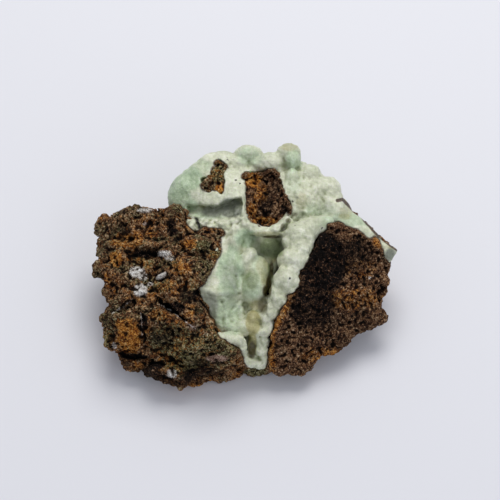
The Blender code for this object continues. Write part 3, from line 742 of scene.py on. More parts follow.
# %% [markdown]
# The noted forms and the noise are added up to one height for each point. Beside the crust's edge points move
# along the line of sight, so that the edge stays as it was drawn, and the finished mesh is thinned.

# %% The stone carved
# The sizes in millimetres of the stone's own relief, and the most triangles for a piece.
LEDGE_MM = 5.5
LUMP_MM = 2.4
WEB_MM = 1.7
GRIT_MM = 0.9
PIT_MM = 1.5
TRIANGLES = 196000


def buried_in(places, other, margin):
    """1 for each place that lies deeper than margin millimetres inside another object, else 0."""
    tree = BVHTree.FromObject(other, bpy.context.evaluated_depsgraph_get())
    inside = np.zeros(len(places))
    for index, place in enumerate(places):
        spot, normal, _face, _gap = tree.find_nearest(Vector(place) * MM)
        inside[index] = (Vector(place) * MM - spot).dot(normal) < -margin * MM
    return inside


def thin_to(obj, triangles):
    """Collapses edges, the flattest first, to this many triangles, and sets obj on the floor."""
    count = sum(len(face.vertices) - 2 for face in obj.data.polygons)
    if count > triangles:
        only_select(obj)
        bpy.ops.object.modifier_add(type="DECIMATE")
        obj.modifiers[-1].ratio = triangles / count
        bpy.ops.object.modifier_apply(modifier=obj.modifiers[-1].name)
    places, _normals = points_of(obj)
    places[:, 2] = np.maximum(places[:, 2], 0.0)
    obj.data.vertices.foreach_set("co", (places * MM).astype(np.float32).ravel())
    obj.data.update()
    print(obj.name, "triangles", count, "->", sum(len(face.vertices) - 2 for face in obj.data.polygons))


places, normals = points_of(stone)
where = as_seen(places)
faces_view = smooth_step(normals @ to_eye * 1.6 + 0.3)
free = 1 - buried_in(places, crust, 0.4)
free *= smooth_step(places[:, 2] / 1.2)
windows = np.maximum(*[inside_outline(where, outline) for outline in (SMALL_WINDOW, LARGE_WINDOW)])
in_window = smooth_step(windows + 1.0)
slab = smooth_step((places[:, 0] - 4.0) / 2.0) * smooth_step((14.0 - where[:, 1]) / 4.0)
towards = normals @ to_eye
edge = inside_outline(where, CRUST_EDGE)
beside = (1 - smooth_step((np.abs(edge) - 0.3) / 1.2)) * smooth_step(towards * 2 + 0.6)
free *= 1 - smooth_step(edge / 0.4) * (edge < 6) * (in_window < 0.05) * (towards > -0.2)
directions = normals * (1 - beside)[:, None] + to_eye * beside[:, None]

flattened = places * np.array((1.0, 1.0, 1.7))
ledges = fractal(flattened, LEDGE_MM, 3) * 0.95 * (1 - 0.6 * slab) * (1 - 0.8 * in_window)
lumps = fractal(places, LUMP_MM, 3, 4.0) * 0.6 * (1 - 0.35 * slab) * (1 - 0.5 * in_window)
webs = (0.25 - np.abs(fractal(places, WEB_MM, 2, 21.0))) * 0.9
grains = webs + fractal(places, GRIT_MM, 2, 31.0) * 0.22
pits = smooth_step((fractal(places, PIT_MM, 2, 11.0) - 0.26) / 0.3) * 0.35
relief = ledges + lumps + grains - pits + 0.2
for across, up, wide, high, rise in HUMMOCKS + HOLLOWS:
    relief += faces_view * rise * spots(where, [(across, up, wide, high, 1.0)])
ragged = fractal(places, 1.6, 2, 9.0) * 0.5
for path, half_width, rise in CRACKS + LEDGES:
    gap = near_path(where, path) + ragged
    relief += faces_view * rise * (1 - smooth_step(gap / half_width - 0.3))
move_out(stone, relief * free, directions)
thin_to(stone, TRIANGLES)

# %% [markdown]
# The crust gets its own fine surface: low rounded lumps of a few millimetres all over, finer ones on the
# chalky right side and the ledges, and almost none on the glassy left of the dome and the smooth sheet.

# %% The crust's fine surface
# Places with finer, rougher lumps, as they are seen.
ROUGH = [
    (-8.6, 11.0, 7.5, 2.2, 0.9), (5.0, 9.4, 6.0, 1.4, 0.5), (18.5, 19.0, 8.0, 8.0, 0.12),
    (-3.4, 12.0, 3.6, 2.2, 0.9), (3.6, -24.0, 3.0, 8.0, 0.5), (-3.0, -20.5, 5.0, 3.0, 0.4),
    (7.0, -12.0, 3.0, 6.0, 0.35), (12.0, 4.0, 6.0, 6.0, 0.2),
]
GLASSY = [
    (-17.5, 20.0, 6.5, 8.0, 0.7), (-7.0, -2.0, 6.0, 12.0, 0.8), (26.0, 10.5, 9.0, 5.0, 1.0),
    (2.0, -3.0, 5.0, 8.0, 0.9), (6.0, 4.0, 4.0, 4.0, 0.9), (12.0, 3.0, 6.0, 10.0, 0.35),
    (0.0, 30.0, 14.0, 3.0, 0.6), (-8.0, 19.0, 8.0, 6.0, 0.4),
]

# Folds and creases of the valley's sheet as they are seen: their path, half width and rise.
FOLDS = [
    ([(-13.0, -6.0), (-10.4, -6.6), (-7.6, -7.4), (-4.6, -7.2)], 1.3, 0.6),
    ([(-12.0, -8.6), (-9.0, -9.4), (-6.4, -9.6)], 1.2, -0.2),
    ([(-8.6, 2.4), (-5.4, -1.0), (-3.6, -5.4)], 1.2, 0.35),
    ([(-6.6, -9.6), (-6.0, -12.6), (-6.4, -15.4)], 0.9, -0.4), ([(-3.0, -2.6), (-2.2, -7.4)], 0.8, -0.3),
    ([(-8.4, -11.0), (-8.0, -14.6)], 0.8, 0.3), ([(8.8, 8.8), (10.2, 10.8), (12.6, 13.6)], 0.8, -0.7),
]


def cells(places, spacing):
    """How far each place is from its nearest cell's centre, as a share of the cells' spacing."""
    return np.array([noise.voronoi(Vector(p) / spacing)[0][0] for p in places])


places, normals = points_of(crust)
where = as_seen(places)
free = 1 - buried_in(places, stone, 0.6)
free *= smooth_step((places[:, 2] - 1.0) / 1.5)
rough = spots(where, ROUGH)
glassy = spots(where, GLASSY)
swell = fractal(places, 6.0, 3, 2.0) * 0.4 * (1 - 0.5 * glassy)
lumps = (0.42 - cells(places, 3.0) ** 2 * 1.1) * (0.2 + 0.4 * rough) * (1 - 0.8 * glassy)
knots = (0.4 - cells(places, 1.2)) * (0.18 + 0.5 * rough) * (1 - 0.7 * glassy)
grit = fractal(places, 1.0, 3, 5.0) * (0.16 + 0.2 * rough) * (1 - 0.4 * glassy)
relief = swell + lumps + knots + grit
faces_view = smooth_step(normals @ to_eye * 1.6 + 0.3)
for path, half_width, rise in FOLDS:
    gap = near_path(where, path) + fractal(places, 2.4, 2, 8.0) * 0.5
    relief += faces_view * rise * (1 - smooth_step(gap / half_width))
move_out(crust, relief * free)
thin_to(crust, TRIANGLES)

# %% [markdown]
# Colour follows place on a mineral: rust where water ran, white where the crust is chalky, green where it is
# clear. These are noted as soft-edged spots, and each kind is stored as a number on the mesh's points, which
# the material reads. The noise that breaks up their edges is the material's own.

# %% The stone's stains and painted shade
RUST = [
    (-31.2, -19.0, 3.4, 5.2, 1.0), (-33.4, -15.6, 1.6, 1.6, 0.9), (-22.9, -13.1, 3.0, 2.0, 0.5),
    (-32.0, 6.4, 5.4, 2.2, 0.6), (-27.0, 8.0, 4.0, 1.4, 0.45), (-35.0, 1.6, 2.0, 2.4, 0.75),
    (-15.1, 5.4, 2.0, 1.6, 0.6), (-17.2, -0.8, 2.6, 2.2, 0.55), (-15.0, -4.6, 2.4, 2.0, 0.4),
    (-18.4, -5.0, 2.6, 1.4, 0.4), (-23.4, -5.8, 3.6, 1.6, 0.4), (-14.0, -11.6, 2.4, 1.4, 0.4),
    (28.0, -8.8, 9.0, 3.4, 0.42), (35.0, 6.2, 1.8, 1.8, 0.6), (20.0, -24.0, 6.0, 2.4, 0.45),
    (1.6, 22.6, 2.4, 2.2, 0.85), (3.6, 19.0, 2.4, 3.0, 0.5), (1.2, 14.6, 1.6, 2.6, 0.6),
    (4.6, 11.8, 4.0, 1.2, 0.7), (-7.6, 20.2, 1.2, 1.6, 0.85), (-29.0, -27.0, 2.0, 1.6, 0.5),
    (-26.0, 12.0, 6.0, 2.4, 0.3), (30.0, -1.0, 5.0, 3.0, 0.3),
]
OLIVE = [
    (-10.0, -21.6, 10.0, 6.5, 0.6), (-17.2, -25.4, 5.4, 4.4, 0.85), (-20.0, -19.4, 7.0, 5.0, 0.7),
    (-12.0, 5.0, 3.0, 2.2, 0.7), (-8.6, 3.0, 1.6, 1.4, 0.9), (-8.0, 24.6, 2.2, 3.2, 0.8),
    (-37.0, -18.4, 2.2, 4.0, 0.6), (-24.0, -5.0, 5.4, 2.4, 0.6), (-20.6, 1.0, 3.0, 1.8, 0.5),
    (-28.0, 0.6, 5.0, 2.0, 0.45), (-12.0, 0.0, 2.4, 3.0, 0.45), (2.0, -28.4, 3.4, 1.4, 0.9),
]
# Velvet black on the slab. The marks in the cracks, the hollows and along the foot are painted shade.
VELVET_AND_SHADE = [
    (-20.4, 11.2, 1.5, 1.6, 0.7), (-20.0, 8.8, 1.8, 1.4, 0.7), (-19.0, 6.6, 1.2, 0.9, 0.6),
    (-20.0, 14.6, 1.8, 1.6, 0.5), (-26.4, 3.0, 5.4, 1.3, 0.8), (-33.0, 9.4, 2.4, 1.6, 0.5),
    (-19.0, -11.2, 3.0, 1.6, 1.0), (-15.4, -8.0, 3.2, 1.8, 0.7), (-12.6, -11.0, 2.6, 2.4, 0.55),
    (-27.0, -14.8, 0.8, 2.4, 0.9), (-29.8, -24.2, 4.6, 0.9, 0.95), (-24.0, -26.4, 2.6, 1.1, 0.85),
    (-33.0, -11.2, 3.0, 0.7, 0.6), (-36.0, -20.6, 1.6, 2.4, 0.6), (19.6, 1.0, 7.5, 9.5, 1.0),
    (17.0, -10.0, 7.5, 8.0, 0.66), (29.0, 2.0, 6.0, 6.0, 0.6), (24.0, -14.0, 14.0, 9.0, 0.4),
    (-22.6, -17.6, 4.4, 4.4, 0.5), (-16.6, -17.0, 5.0, 2.4, 0.4), (-10.4, -25.6, 6.0, 1.6, 0.5),
    (-26.0, -29.0, 6.0, 2.4, 0.6), (-18.0, -30.5, 8.0, 2.2, 0.55), (-33.0, -25.6, 3.0, 1.8, 0.5),
    (10.0, 14.4, 1.4, 1.6, 0.9), (5.2, 17.0, 2.2, 4.6, 0.55), (7.6, 21.0, 1.4, 3.0, 0.5),
    (-12.0, -28.4, 7.0, 1.8, 0.6),
]
CHALK_SPOTS = [
    (-29.2, -1.8, 2.2, 1.6, 0.75), (-27.6, -3.0, 1.4, 1.2, 0.6), (-28.2, -6.6, 1.9, 1.7, 1.0),
    (-25.6, -5.0, 1.0, 0.7, 0.6), (-23.2, -2.9, 0.9, 0.5, 1.0), (-22.2, -2.4, 0.8, 0.5, 1.0),
    (-22.0, 3.0, 2.2, 1.0, 0.62), (-20.4, 1.8, 1.6, 0.7, 0.5), (-27.4, 14.6, 2.4, 0.8, 0.5),
    (-27.0, 11.0, 1.2, 0.6, 0.5), (-20.0, -28.6, 1.6, 1.4, 0.62), (-35.2, -21.4, 0.8, 1.0, 0.5),
    (32.6, -3.4, 0.4, 0.3, 0.9),
]
PINK_SPOTS = [(-8.0, -24.4, 3.2, 1.0, 0.85), (-14.0, -16.2, 2.4, 1.0, 0.35), (-10.5, -17.6, 2.0, 1.0, 0.3)]
# The one white crystal, rust along the slab's left edge, and the pale ridges along the crevices, as paths.
CRYSTAL = [(-23.6, -3.4), (-21.8, -2.4)]
RUSTY_EDGE = [(12.6, -7.8), (10.6, -10.6), (8.4, -14.0), (6.6, -17.6), (6.2, -22.0), (6.6, -27.6)]
RIDGES = [
    [(-22.9, -10.1), (-19.9, -12.0), (-16.8, -14.2), (-13.8, -16.5)],
    [(-35.6, -12.6), (-33.5, -11.4), (-30.4, -9.0)], [(-27.9, -12.6), (-27.8, -18.6)],
]
print("noted", len(RUST + OLIVE + VELVET_AND_SHADE + CHALK_SPOTS + PINK_SPOTS), "stains")

# %% [markdown]
# Each kind of stain becomes one number on every point. The sides that aren't in view get theirs from noise,
# and so does the block between the noted marks. Painted shade darkens the pores and creases: how deep a point
# lies among its neighbours is stored as the pore mask.

# %% The stains and painted shade stored


def hollowness(obj, rounds=2):
    """How deep each point lies among its neighbours: over 0 in a crease or pore, under 0 on a crest."""
    places, normals = points_of(obj)
    mean = neighbour_mean(obj)
    middle = places.copy()
    for _ in range(rounds):
        middle = np.column_stack([mean(middle[:, axis]) for axis in range(3)])
    return mean(((middle - places) * normals).sum(axis=1))


def write_mask(obj, name, values):
    """Stores one number for each point, for the material to read."""
    layer = obj.data.attributes.new(name, "FLOAT", "POINT")
    layer.data.foreach_set("value", np.clip(values, 0.0, 1.0).astype(np.float32))


places, normals = points_of(stone)
where = as_seen(places)
faces_view = smooth_step(normals @ to_eye * 1.6 + 0.5)
patchy = fractal(places, 11.0, 2, 7.0)
block = smooth_step((2.0 - places[:, 0]) / 4.0)
zones = fractal(places, 7.0, 2, 17.0)
for name, marks, on_block, elsewhere in (
    ("rust", RUST, 0.19, 0.4 + 0.9 * patchy),
    ("olive", OLIVE, 0.26, 0.2 - 0.7 * patchy),
    ("dark", VELVET_AND_SHADE, 0.15, 0.25 - 0.5 * patchy),
    ("chalk", CHALK_SPOTS, 0.0, 0.0 * patchy),
    ("pink", PINK_SPOTS, 0.0, 0.0 * patchy),
):
    zone = zones if name == "rust" else -zones
    marked = np.maximum(spots(where, marks), on_block * block * (1 + 1.8 * zone))
    if name == "chalk":
        ridge = np.min([near_path(where, path) for path in RIDGES], axis=0)
        marked = np.maximum(marked, 0.5 * (1 - smooth_step(ridge / 0.5)))
        marked = np.maximum(marked, 1 - smooth_step(near_path(where, CRYSTAL) / 0.5 - 0.7))
    if name == "rust":
        marked = np.maximum(marked, 0.6 * (1 - smooth_step(near_path(where, RUSTY_EDGE) / 1.3 - 0.2)))
    write_mask(stone, name, marked * faces_view + elsewhere * (1 - faces_view))
    print("stone", name, "stains", round(float(np.mean(marked > 0.3)) * 100), "percent of the points")
# Painted shade: the deeper a point lies among its neighbours, the darker it is painted.
write_mask(stone, "pore", hollowness(stone, 3) * 6.0 + 0.3)

# %% [markdown]
# The crust's tints come from its thickness and what lies under it: mint where it is thick and clear, deep
# green in the pocket, tan where water left iron in it, and chalk white where its needles are loose. The
# stone's colour also creeps onto it where its edge is thin. Grey is painted shade, in the recess under the
# lip and on facets turned from the light. Deep green on the bulb and olive in the gaps are painted shade too,
# and the chalk on the sheet's upper left facet is a painted highlight.

# %% The crust's tints and painted shade
GREEN = [
    (-18.6, 18.6, 3.6, 6.0, 1.0), (-15.0, 23.4, 3.6, 3.6, 0.9), (-17.4, 15.8, 5.0, 2.6, 0.8),
    (-12.0, 27.0, 3.0, 2.6, 0.5), (0.5, 29.2, 4.0, 3.0, 0.55), (12.4, 28.0, 2.8, 3.6, 0.62),
    (27.0, 11.6, 10.0, 2.8, 0.6), (12.0, 22.6, 3.0, 5.0, 0.35), (-4.8, -1.6, 4.4, 8.0, 0.8),
    (-5.4, -12.4, 4.6, 6.0, 0.6), (1.0, -5.6, 3.4, 4.4, 0.6), (3.4, -0.6, 2.8, 4.4, 0.5),
    (-0.6, 7.2, 3.4, 3.0, 0.75), (19.6, 15.2, 5.0, 2.6, 0.55), (-3.4, -16.8, 4.0, 2.0, 0.5),
    (-10.0, 13.6, 6.0, 2.0, 0.5),
]
# Deep green in the pocket. The marks on the bulb are painted shade.
DEEP_GREEN_AND_SHADE = [
    (6.4, 4.6, 3.6, 3.4, 0.8), (1.2, -3.8, 2.2, 3.4, 0.56), (6.2, -1.4, 1.0, 4.4, 0.6),
    (2.0, 5.4, 1.6, 2.0, 0.5), (-0.6, -5.6, 1.4, 2.2, 0.4), (14.2, 13.3, 2.0, 1.2, 0.45),
]
# The crust's olive colour in the slits, gaps and under the window's rim, painted darker there as shade.
OLIVE_AND_SHADE = [
    (5.6, -5.6, 0.9, 3.2, 0.85), (6.4, -1.0, 0.6, 2.6, 0.7), (4.0, -10.6, 1.6, 2.6, 0.6),
    (1.2, -22.4, 1.1, 2.8, 0.75), (5.0, -6.8, 1.2, 1.8, 0.8), (9.4, 10.0, 0.8, 1.3, 0.6),
    (6.6, 7.5, 3.0, 0.45, 0.8), (10.8, 11.8, 1.0, 0.8, 0.55), (12.4, 13.5, 1.4, 0.7, 0.5),
]
YELLOW = [
    (1.5, -15.0, 2.2, 3.6, 1.0), (11.2, 31.8, 3.0, 1.6, 0.5), (4.6, -1.6, 1.8, 5.0, 0.5),
    (-0.8, -17.4, 2.0, 1.8, 0.4), (1.2, -20.6, 1.3, 4.4, 0.9), (5.0, 8.2, 5.0, 0.9, 0.5),
    (6.6, 1.6, 1.4, 1.4, 0.7), (14.4, 17.0, 2.0, 3.0, 0.4), (8.6, 1.0, 1.6, 6.0, 0.36),
    (26.6, 14.6, 2.4, 1.4, 0.4), (2.6, -10.6, 2.6, 1.6, 0.6), (3.8, -0.4, 2.0, 3.2, 0.45),
    (26.0, 13.0, 2.2, 1.2, 0.5), (38.4, 5.0, 1.8, 0.8, 0.5), (1.2, -19.6, 1.1, 2.0, 0.8),
]
# Chalk white where the needles are loose. The marks on the sheet's upper left facet are a painted highlight,
# lighter where it faces the light.
CHALK_AND_HIGHLIGHT = [
    (-4.0, 20.6, 3.4, 5.0, 1.0), (-7.2, 17.6, 6.0, 1.6, 0.9), (-7.0, 11.0, 9.0, 1.7, 0.6),
    (5.0, 10.0, 6.4, 1.0, 0.65), (21.0, 19.5, 8.0, 6.0, 0.55), (11.0, -0.6, 5.0, 6.0, 0.62),
    (15.0, 7.0, 4.0, 4.0, 0.35), (5.5, -14.0, 2.4, 8.0, 0.5), (3.8, -24.0, 1.6, 4.0, 0.6),
    (-2.6, -20.4, 5.0, 2.2, 1.0), (-0.4, -25.4, 2.0, 1.6, 1.0), (-9.4, 1.0, 1.8, 4.0, 0.8),
    (-10.8, -4.4, 3.8, 2.6, 0.75), (-6.4, 7.0, 1.6, 5.0, 0.8), (8.6, 23.6, 1.6, 4.0, 0.6),
    (7.0, 27.6, 3.0, 1.8, 0.7), (-8.0, 29.0, 5.0, 1.6, 0.7), (0.2, 2.4, 1.4, 1.6, 0.6),
    (-14.4, 10.4, 1.6, 2.4, 1.0), (30.5, 9.6, 4.0, 1.2, 0.6), (38.0, 5.4, 2.4, 0.7, 0.9),
    (36.0, 5.0, 0.6, 2.0, 0.9), (37.0, 1.4, 0.5, 2.0, 1.0), (-8.4, 20.0, 2.0, 1.0, 0.9),
]
# Painted shade: grey in the recess under the lip, on the sheet's lower facet and on other facets turned from
# the light.
PAINTED_SHADE_GREY = [
    (-4.6, 15.2, 3.4, 2.8, 1.0), (-9.0, 14.4, 4.0, 2.0, 0.7), (38.2, 3.0, 1.5, 2.0, 0.78),
    (-9.8, -11.0, 2.6, 4.6, 0.6), (-11.0, -8.6, 2.6, 1.4, 0.5), (-2.2, -9.6, 1.0, 3.0, 0.35),
    (-4.6, -3.4, 2.8, 6.6, 0.45), (20.6, 15.4, 3.2, 2.4, 0.42), (14.2, 13.4, 1.6, 1.4, 0.5),
    (-3.6, -9.0, 2.0, 3.0, 0.4),
]
# The brown rind of stone along the bank's rear edge, and black specks, as they are seen.
RIND = [
    (24.0, 17.2), (25.7, 17.6), (27.1, 16.2), (28.8, 14.7), (30.2, 13.7), (32.0, 11.2), (34.1, 8.8),
    (36.2, 7.0), (38.3, 5.3), (40.1, 4.1),
]
SPECKS = [
    (-5.3, 28.8), (-5.4, 28.3), (-3.1, 22.7), (-2.0, 21.8), (12.6, 10.6), (11.1, -3.4), (19.8, 9.8),
    (12.0, 17.0),
]
print("noted", len(GREEN + DEEP_GREEN_AND_SHADE + OLIVE_AND_SHADE + YELLOW + CHALK_AND_HIGHLIGHT + PAINTED_SHADE_GREY), "tints and", len(SPECKS), "specks")

# %% [markdown]
# The crust's masks are stored as the stone's are. Where the crust lies close to the stone, the stone's colour
# stains it: on the front only beside a drawn edge, and on the sides that aren't in view everywhere.

# %% The tints and painted shade stored
# How far behind the front a point near the rind's path may lie and still be brown, in millimetres.
RIND_DEPTH = 1.2

places, normals = points_of(crust)
where = as_seen(places)
towards = normals @ to_eye
faces_view = smooth_step(towards * 1.6 + 0.5)
patchy = fractal(places, 9.0, 2, 3.0)
for name, marks, elsewhere in (
    ("green", GREEN, 0.5 + 0.9 * patchy),
    ("deep", DEEP_GREEN_AND_SHADE, 0.0 * patchy),
    ("olive", OLIVE_AND_SHADE, 0.0 * patchy),
    ("yellow", YELLOW, 0.1 + 0.5 * patchy),
    ("chalk", CHALK_AND_HIGHLIGHT, 0.5 - 0.9 * patchy),
    ("painted_shade_grey", PAINTED_SHADE_GREY, 0.0 * patchy),
):
    marked = spots(where, marks)
    write_mask(crust, name, marked * faces_view + elsewhere * (1 - faces_view))
    print("crust", name, "tints", round(float(np.mean(marked > 0.3)) * 100), "percent of the points")
# Painted shade: how deep each point lies among its neighbours, for darker creases.
write_mask(crust, "crease", hollowness(crust, 4) * 4.0 + 0.25)

find = BVHTree.FromObject(stone, bpy.context.evaluated_depsgraph_get()).find_nearest
reach = np.array([find(Vector(place) * MM)[3] / MM for place in places])
borders = [inside_outline(where, outline) for outline in (CRUST_EDGE, SMALL_WINDOW, LARGE_WINDOW)]
at_border = 1 - smooth_step((np.min(np.abs(borders), axis=0) - 0.7) / 0.5) * (towards > 0)
stain = 0.75 * (1.0 - smooth_step((reach - 0.1) / 0.55)) * at_border
# The rind is only on the front, so points near its path that lie well behind the front are left out.
beside_rind = near_path(where, RIND)
rind = (1 - smooth_step((beside_rind - 0.3) / 0.35)) * (towards > -0.3)
for index in np.flatnonzero(rind > 0):
    front = whole_front(*where[index])
    if front is not None and (front - Vector(places[index])).dot(towards_camera) > RIND_DEPTH:
        rind[index] = 0.0
write_mask(crust, "stain", np.maximum(stain, rind))
# Painted shade: the slit is painted near black, as the shade deep in the gap.
write_mask(crust, "slit", smooth_step(inside_outline(where, SLIT) / 0.4 + 0.5) * (towards > -0.3))

# %% [markdown]
# Both materials are built in the same few steps: patterns of a real size in millimetres are added up to one
# tone, and tints are laid over each other, each with its own colours along a tone, wherever a stored mask
# says so.

# %% Steps that both materials take
# A stored mask begins to show at the first of these values, and covers wholly at the second.
MASK_START = 0.15
MASK_FULL = 0.8


def per_mm(millimetres):
    """A texture's scale for a pattern of this size, with coordinates in metres."""
    return 1.0 / (millimetres * MM)


def add_up(material, *parts):
    """The sum of patterns, each times its weight."""
    total = 0.0
    for pattern, weight in parts:
        added = {0: pattern, 1: weight, 2: total}
        total = add_node(material, "ShaderNodeMath", added, operation="MULTIPLY_ADD").outputs["Value"]
    return total


def where_marked(material, name, breaking, breakup):
    """How far a stored mask covers each place, with its edge broken up by a pattern."""
    marks = add_node(material, "ShaderNodeAttribute", attribute_name=name).outputs["Fac"]
    added = {0: breaking, 1: breakup, 2: marks}
    broken = add_node(material, "ShaderNodeMath", added, operation="MULTIPLY_ADD").outputs["Value"]
    shift = 0.5 * breakup
    edge = {"Value": broken, "From Min": MASK_START + shift, "From Max": MASK_FULL + shift}
    return add_node(material, "ShaderNodeMapRange", edge, interpolation_type="SMOOTHSTEP").outputs["Result"]


def lay_tint(material, under, cover, tone, stops, how="MIX"):
    """Lays a tint on a colour where cover says so. Its stops are (position, sRGB hex) along a tone."""
    tint = add_node(material, "ShaderNodeValToRGB", {"Fac": tone})
    elements = tint.color_ramp.elements
    for element, (position, colour) in zip(elements, (stops[0], stops[-1])):
        element.position = position
        element.color = linear(colour)
    for position, colour in stops[1:-1]:
        elements.new(position).color = linear(colour)
    if under is None:
        return tint.outputs["Color"]
    layer = {0: cover, 6: under, 7: tint.outputs["Color"]}
    return add_node(material, "ShaderNodeMix", layer, data_type="RGBA", blend_type=how).outputs[2]


print("a pattern of one millimetre has the scale", per_mm(1.0))

# %% [markdown]
# Limonite is an earthy, dull iron oxide, broken, not polished: no gloss, a grain of about half a millimetre,
# and browns from near black to ochre. Its speckle is drawn at the grain's real size, and the stored masks
# shift it to rust, olive, velvet black or chalk. The dark mask also paints shade in the cracks, the hollows
# and along the foot.

# %% Limonite's patterns
limonite, shader = new_material("limonite_broken_earthy")
shader.inputs["Roughness"].default_value = 0.95
shader.inputs["Specular IOR Level"].default_value = 0.12
GRAIN_MM = 0.4

place = add_node(limonite, "ShaderNodeTexCoord").outputs["Object"]
# Each pattern's size in millimetres, its detail and its roughness.
noises = []
for size, detail, roughness in ((GRAIN_MM, 3.0, 0.75), (1.9, 4.0, 0.65), (6.5, 2.0, 0.6)):
    settings = {"Vector": place, "Scale": per_mm(size), "Detail": detail, "Roughness": roughness}
    noises.append(add_node(limonite, "ShaderNodeTexNoise", settings).outputs["Fac"])
fine, medium, broad = noises
grains = add_node(limonite, "ShaderNodeTexVoronoi", {"Vector": place, "Scale": per_mm(GRAIN_MM * 1.1)})
grain_tones = add_node(limonite, "ShaderNodeSeparateColor", {"Color": grains.outputs["Color"]})
speckle = add_up(limonite, (fine, 2.0), (medium, 0.6), (broad, 0.3), (grain_tones.outputs["Red"], 0.5))
spread = {"Value": speckle, "From Min": 1.18, "From Max": 2.22}
tone = add_node(limonite, "ShaderNodeMapRange", spread).outputs["Result"]
mottle = add_up(limonite, (medium, 0.7), (grain_tones.outputs["Green"], 0.3))
against_mottle = add_up(limonite, (mottle, -1.0), (1.0, 1.0))
print("limonite grain", GRAIN_MM, "mm, nodes for its patterns", len(limonite.node_tree.nodes))

# %% [markdown]
# Every colour of the stone runs from its dark pores to its bright grains, so each is a row of stops along the
# same tone. The stains are laid on the brown one by one, and painted shade darkens the pores and creases
# last.

# %% Limonite's colours
BROWN = [(0.0, "#0e0a07"), (0.3, "#35231a"), (0.5, "#65452f"), (0.7, "#926f50"), (1.0, "#d2b896")]
OLIVE_STOPS = [(0.0, "#0c0b07"), (0.3, "#2e2a1b"), (0.5, "#5b5535"), (0.7, "#8a8358"), (1.0, "#c8c2a0")]
RUST_STOPS = [(0.0, "#1e0f06"), (0.3, "#6b381a"), (0.5, "#b6722c"), (0.7, "#d79a46"), (1.0, "#f4cf8e")]
# Velvet black, also used as painted shade in the cracks, the hollows and along the foot.
VELVET_AND_SHADE_STOPS = [(0.0, "#020202"), (0.4, "#090605"), (0.65, "#1b120e"), (0.85, "#4a3122"), (1.0, "#86664b")]
PINK_STOPS = [(0.0, "#3d2a20"), (0.5, "#9a7a68"), (1.0, "#e0c8b6")]
CHALK_STOPS = [(0.0, "#6a5f55"), (0.35, "#d2cdc7"), (0.6, "#efede9"), (1.0, "#ffffff")]
# Painted shade, darker where a point lies deep in a pore or crease.
PORE_SHADE = [(0.0, "#ffffff"), (0.4, "#e6e3e0"), (0.7, "#6a625c"), (1.0, "#2a2420")]

colour = lay_tint(limonite, None, 1.0, tone, BROWN)
# Each stain's mask, the pattern that breaks up its edge, by how much, and its colours. The dark one is velvet
# black on the slab and painted shade elsewhere.
for name, breaking, breakup, stops in (
    ("olive", mottle, 1.5, OLIVE_STOPS),
    ("rust", against_mottle, 1.5, RUST_STOPS),
    ("dark", broad, 1.0, VELVET_AND_SHADE_STOPS),
    ("pink", fine, 1.3, PINK_STOPS),
    ("chalk", fine, 1.4, CHALK_STOPS),
):
    colour = lay_tint(limonite, colour, where_marked(limonite, name, breaking, breakup), tone, stops)
pore = add_node(limonite, "ShaderNodeAttribute", attribute_name="pore").outputs["Fac"]
colour = lay_tint(limonite, colour, 1.0, pore, PORE_SHADE, "MULTIPLY")
limonite.node_tree.links.new(colour, shader.inputs["Base Color"])
bumps = add_node(limonite, "ShaderNodeBump", {"Height": tone, "Strength": 0.9, "Distance": 0.4 * MM})
limonite.node_tree.links.new(bumps.outputs["Normal"], shader.inputs["Normal"])
stone.data.materials.append(limonite)
print("limonite nodes", len(limonite.node_tree.nodes))

# %% [markdown]
# Aragonite is a clear crystal, but a crust of its fine needles scatters light just under the skin, like
# wax. So the shader has subsurface scattering of under a millimetre, a soft gloss, and colours from chalk
# white to a yellowish mint green. A fine bump stands for the ends of the needles.

# %% Aragonite's patterns
aragonite, shader = new_material("aragonite_botryoidal_waxy")
shader.inputs["IOR"].default_value = 1.6
shader.inputs["Subsurface Weight"].default_value = 0.5
shader.inputs["Subsurface Radius"].default_value = (0.9, 1.1, 0.7)
shader.inputs["Subsurface Scale"].default_value = 0.7 * MM
CLOUD_MM = 2.6
SUGAR_MM = 1.0
NEEDLE_MM = 0.4
STREAK_MM = 0.7

place = add_node(aragonite, "ShaderNodeTexCoord").outputs["Object"]
drawn_out = {"Vector": place, "Scale": (1.0, 0.12, 0.12)}
along = add_node(aragonite, "ShaderNodeMapping", drawn_out).outputs["Vector"]
# Each pattern's coordinates, its size in millimetres, its detail and its roughness.
noises = []
for vector, size, detail, roughness in (
    (place, CLOUD_MM, 5.0, 0.65), (place, NEEDLE_MM, 3.0, 0.7), (place, SUGAR_MM, 4.0, 0.7),
    (along, STREAK_MM, 2.0, 0.6),
):
    settings = {"Vector": vector, "Scale": per_mm(size), "Detail": detail, "Roughness": roughness}
    noises.append(add_node(aragonite, "ShaderNodeTexNoise", settings).outputs["Fac"])
clouds, needles, sugar, streaks = noises
haze = add_up(aragonite, (clouds, 0.9), (sugar, 0.5), (needles, 0.5), (streaks, 0.25))
spread = {"Value": haze, "From Min": 0.76, "From Max": 1.4}
cloudy = add_node(aragonite, "ShaderNodeMapRange", spread).outputs["Result"]
print("aragonite nodes for its patterns", len(aragonite.node_tree.nodes))

# %% [markdown]
# The crust's colours run along its cloudiness, from clear and deep to chalky and bright. The tints are laid
# on in turn, then painted shade darkens the creases, and last come the stone's stain, the specks and the
# slit's painted shade.

# %% Aragonite's colours
PLAIN = [(0.0, "#a3a98e"), (0.5, "#c4c8b0"), (1.0, "#e4e7d8")]
# Painted shade, darker in the crust's creases.
CREASE_SHADE = [(0.0, "#ffffff"), (0.4, "#f6f7f1"), (0.7, "#c0c4ac"), (1.0, "#7f8466")]
STONE_STAIN = [(0.3, "#17100b"), (0.5, "#3c2b1c"), (0.7, "#8d7048")]
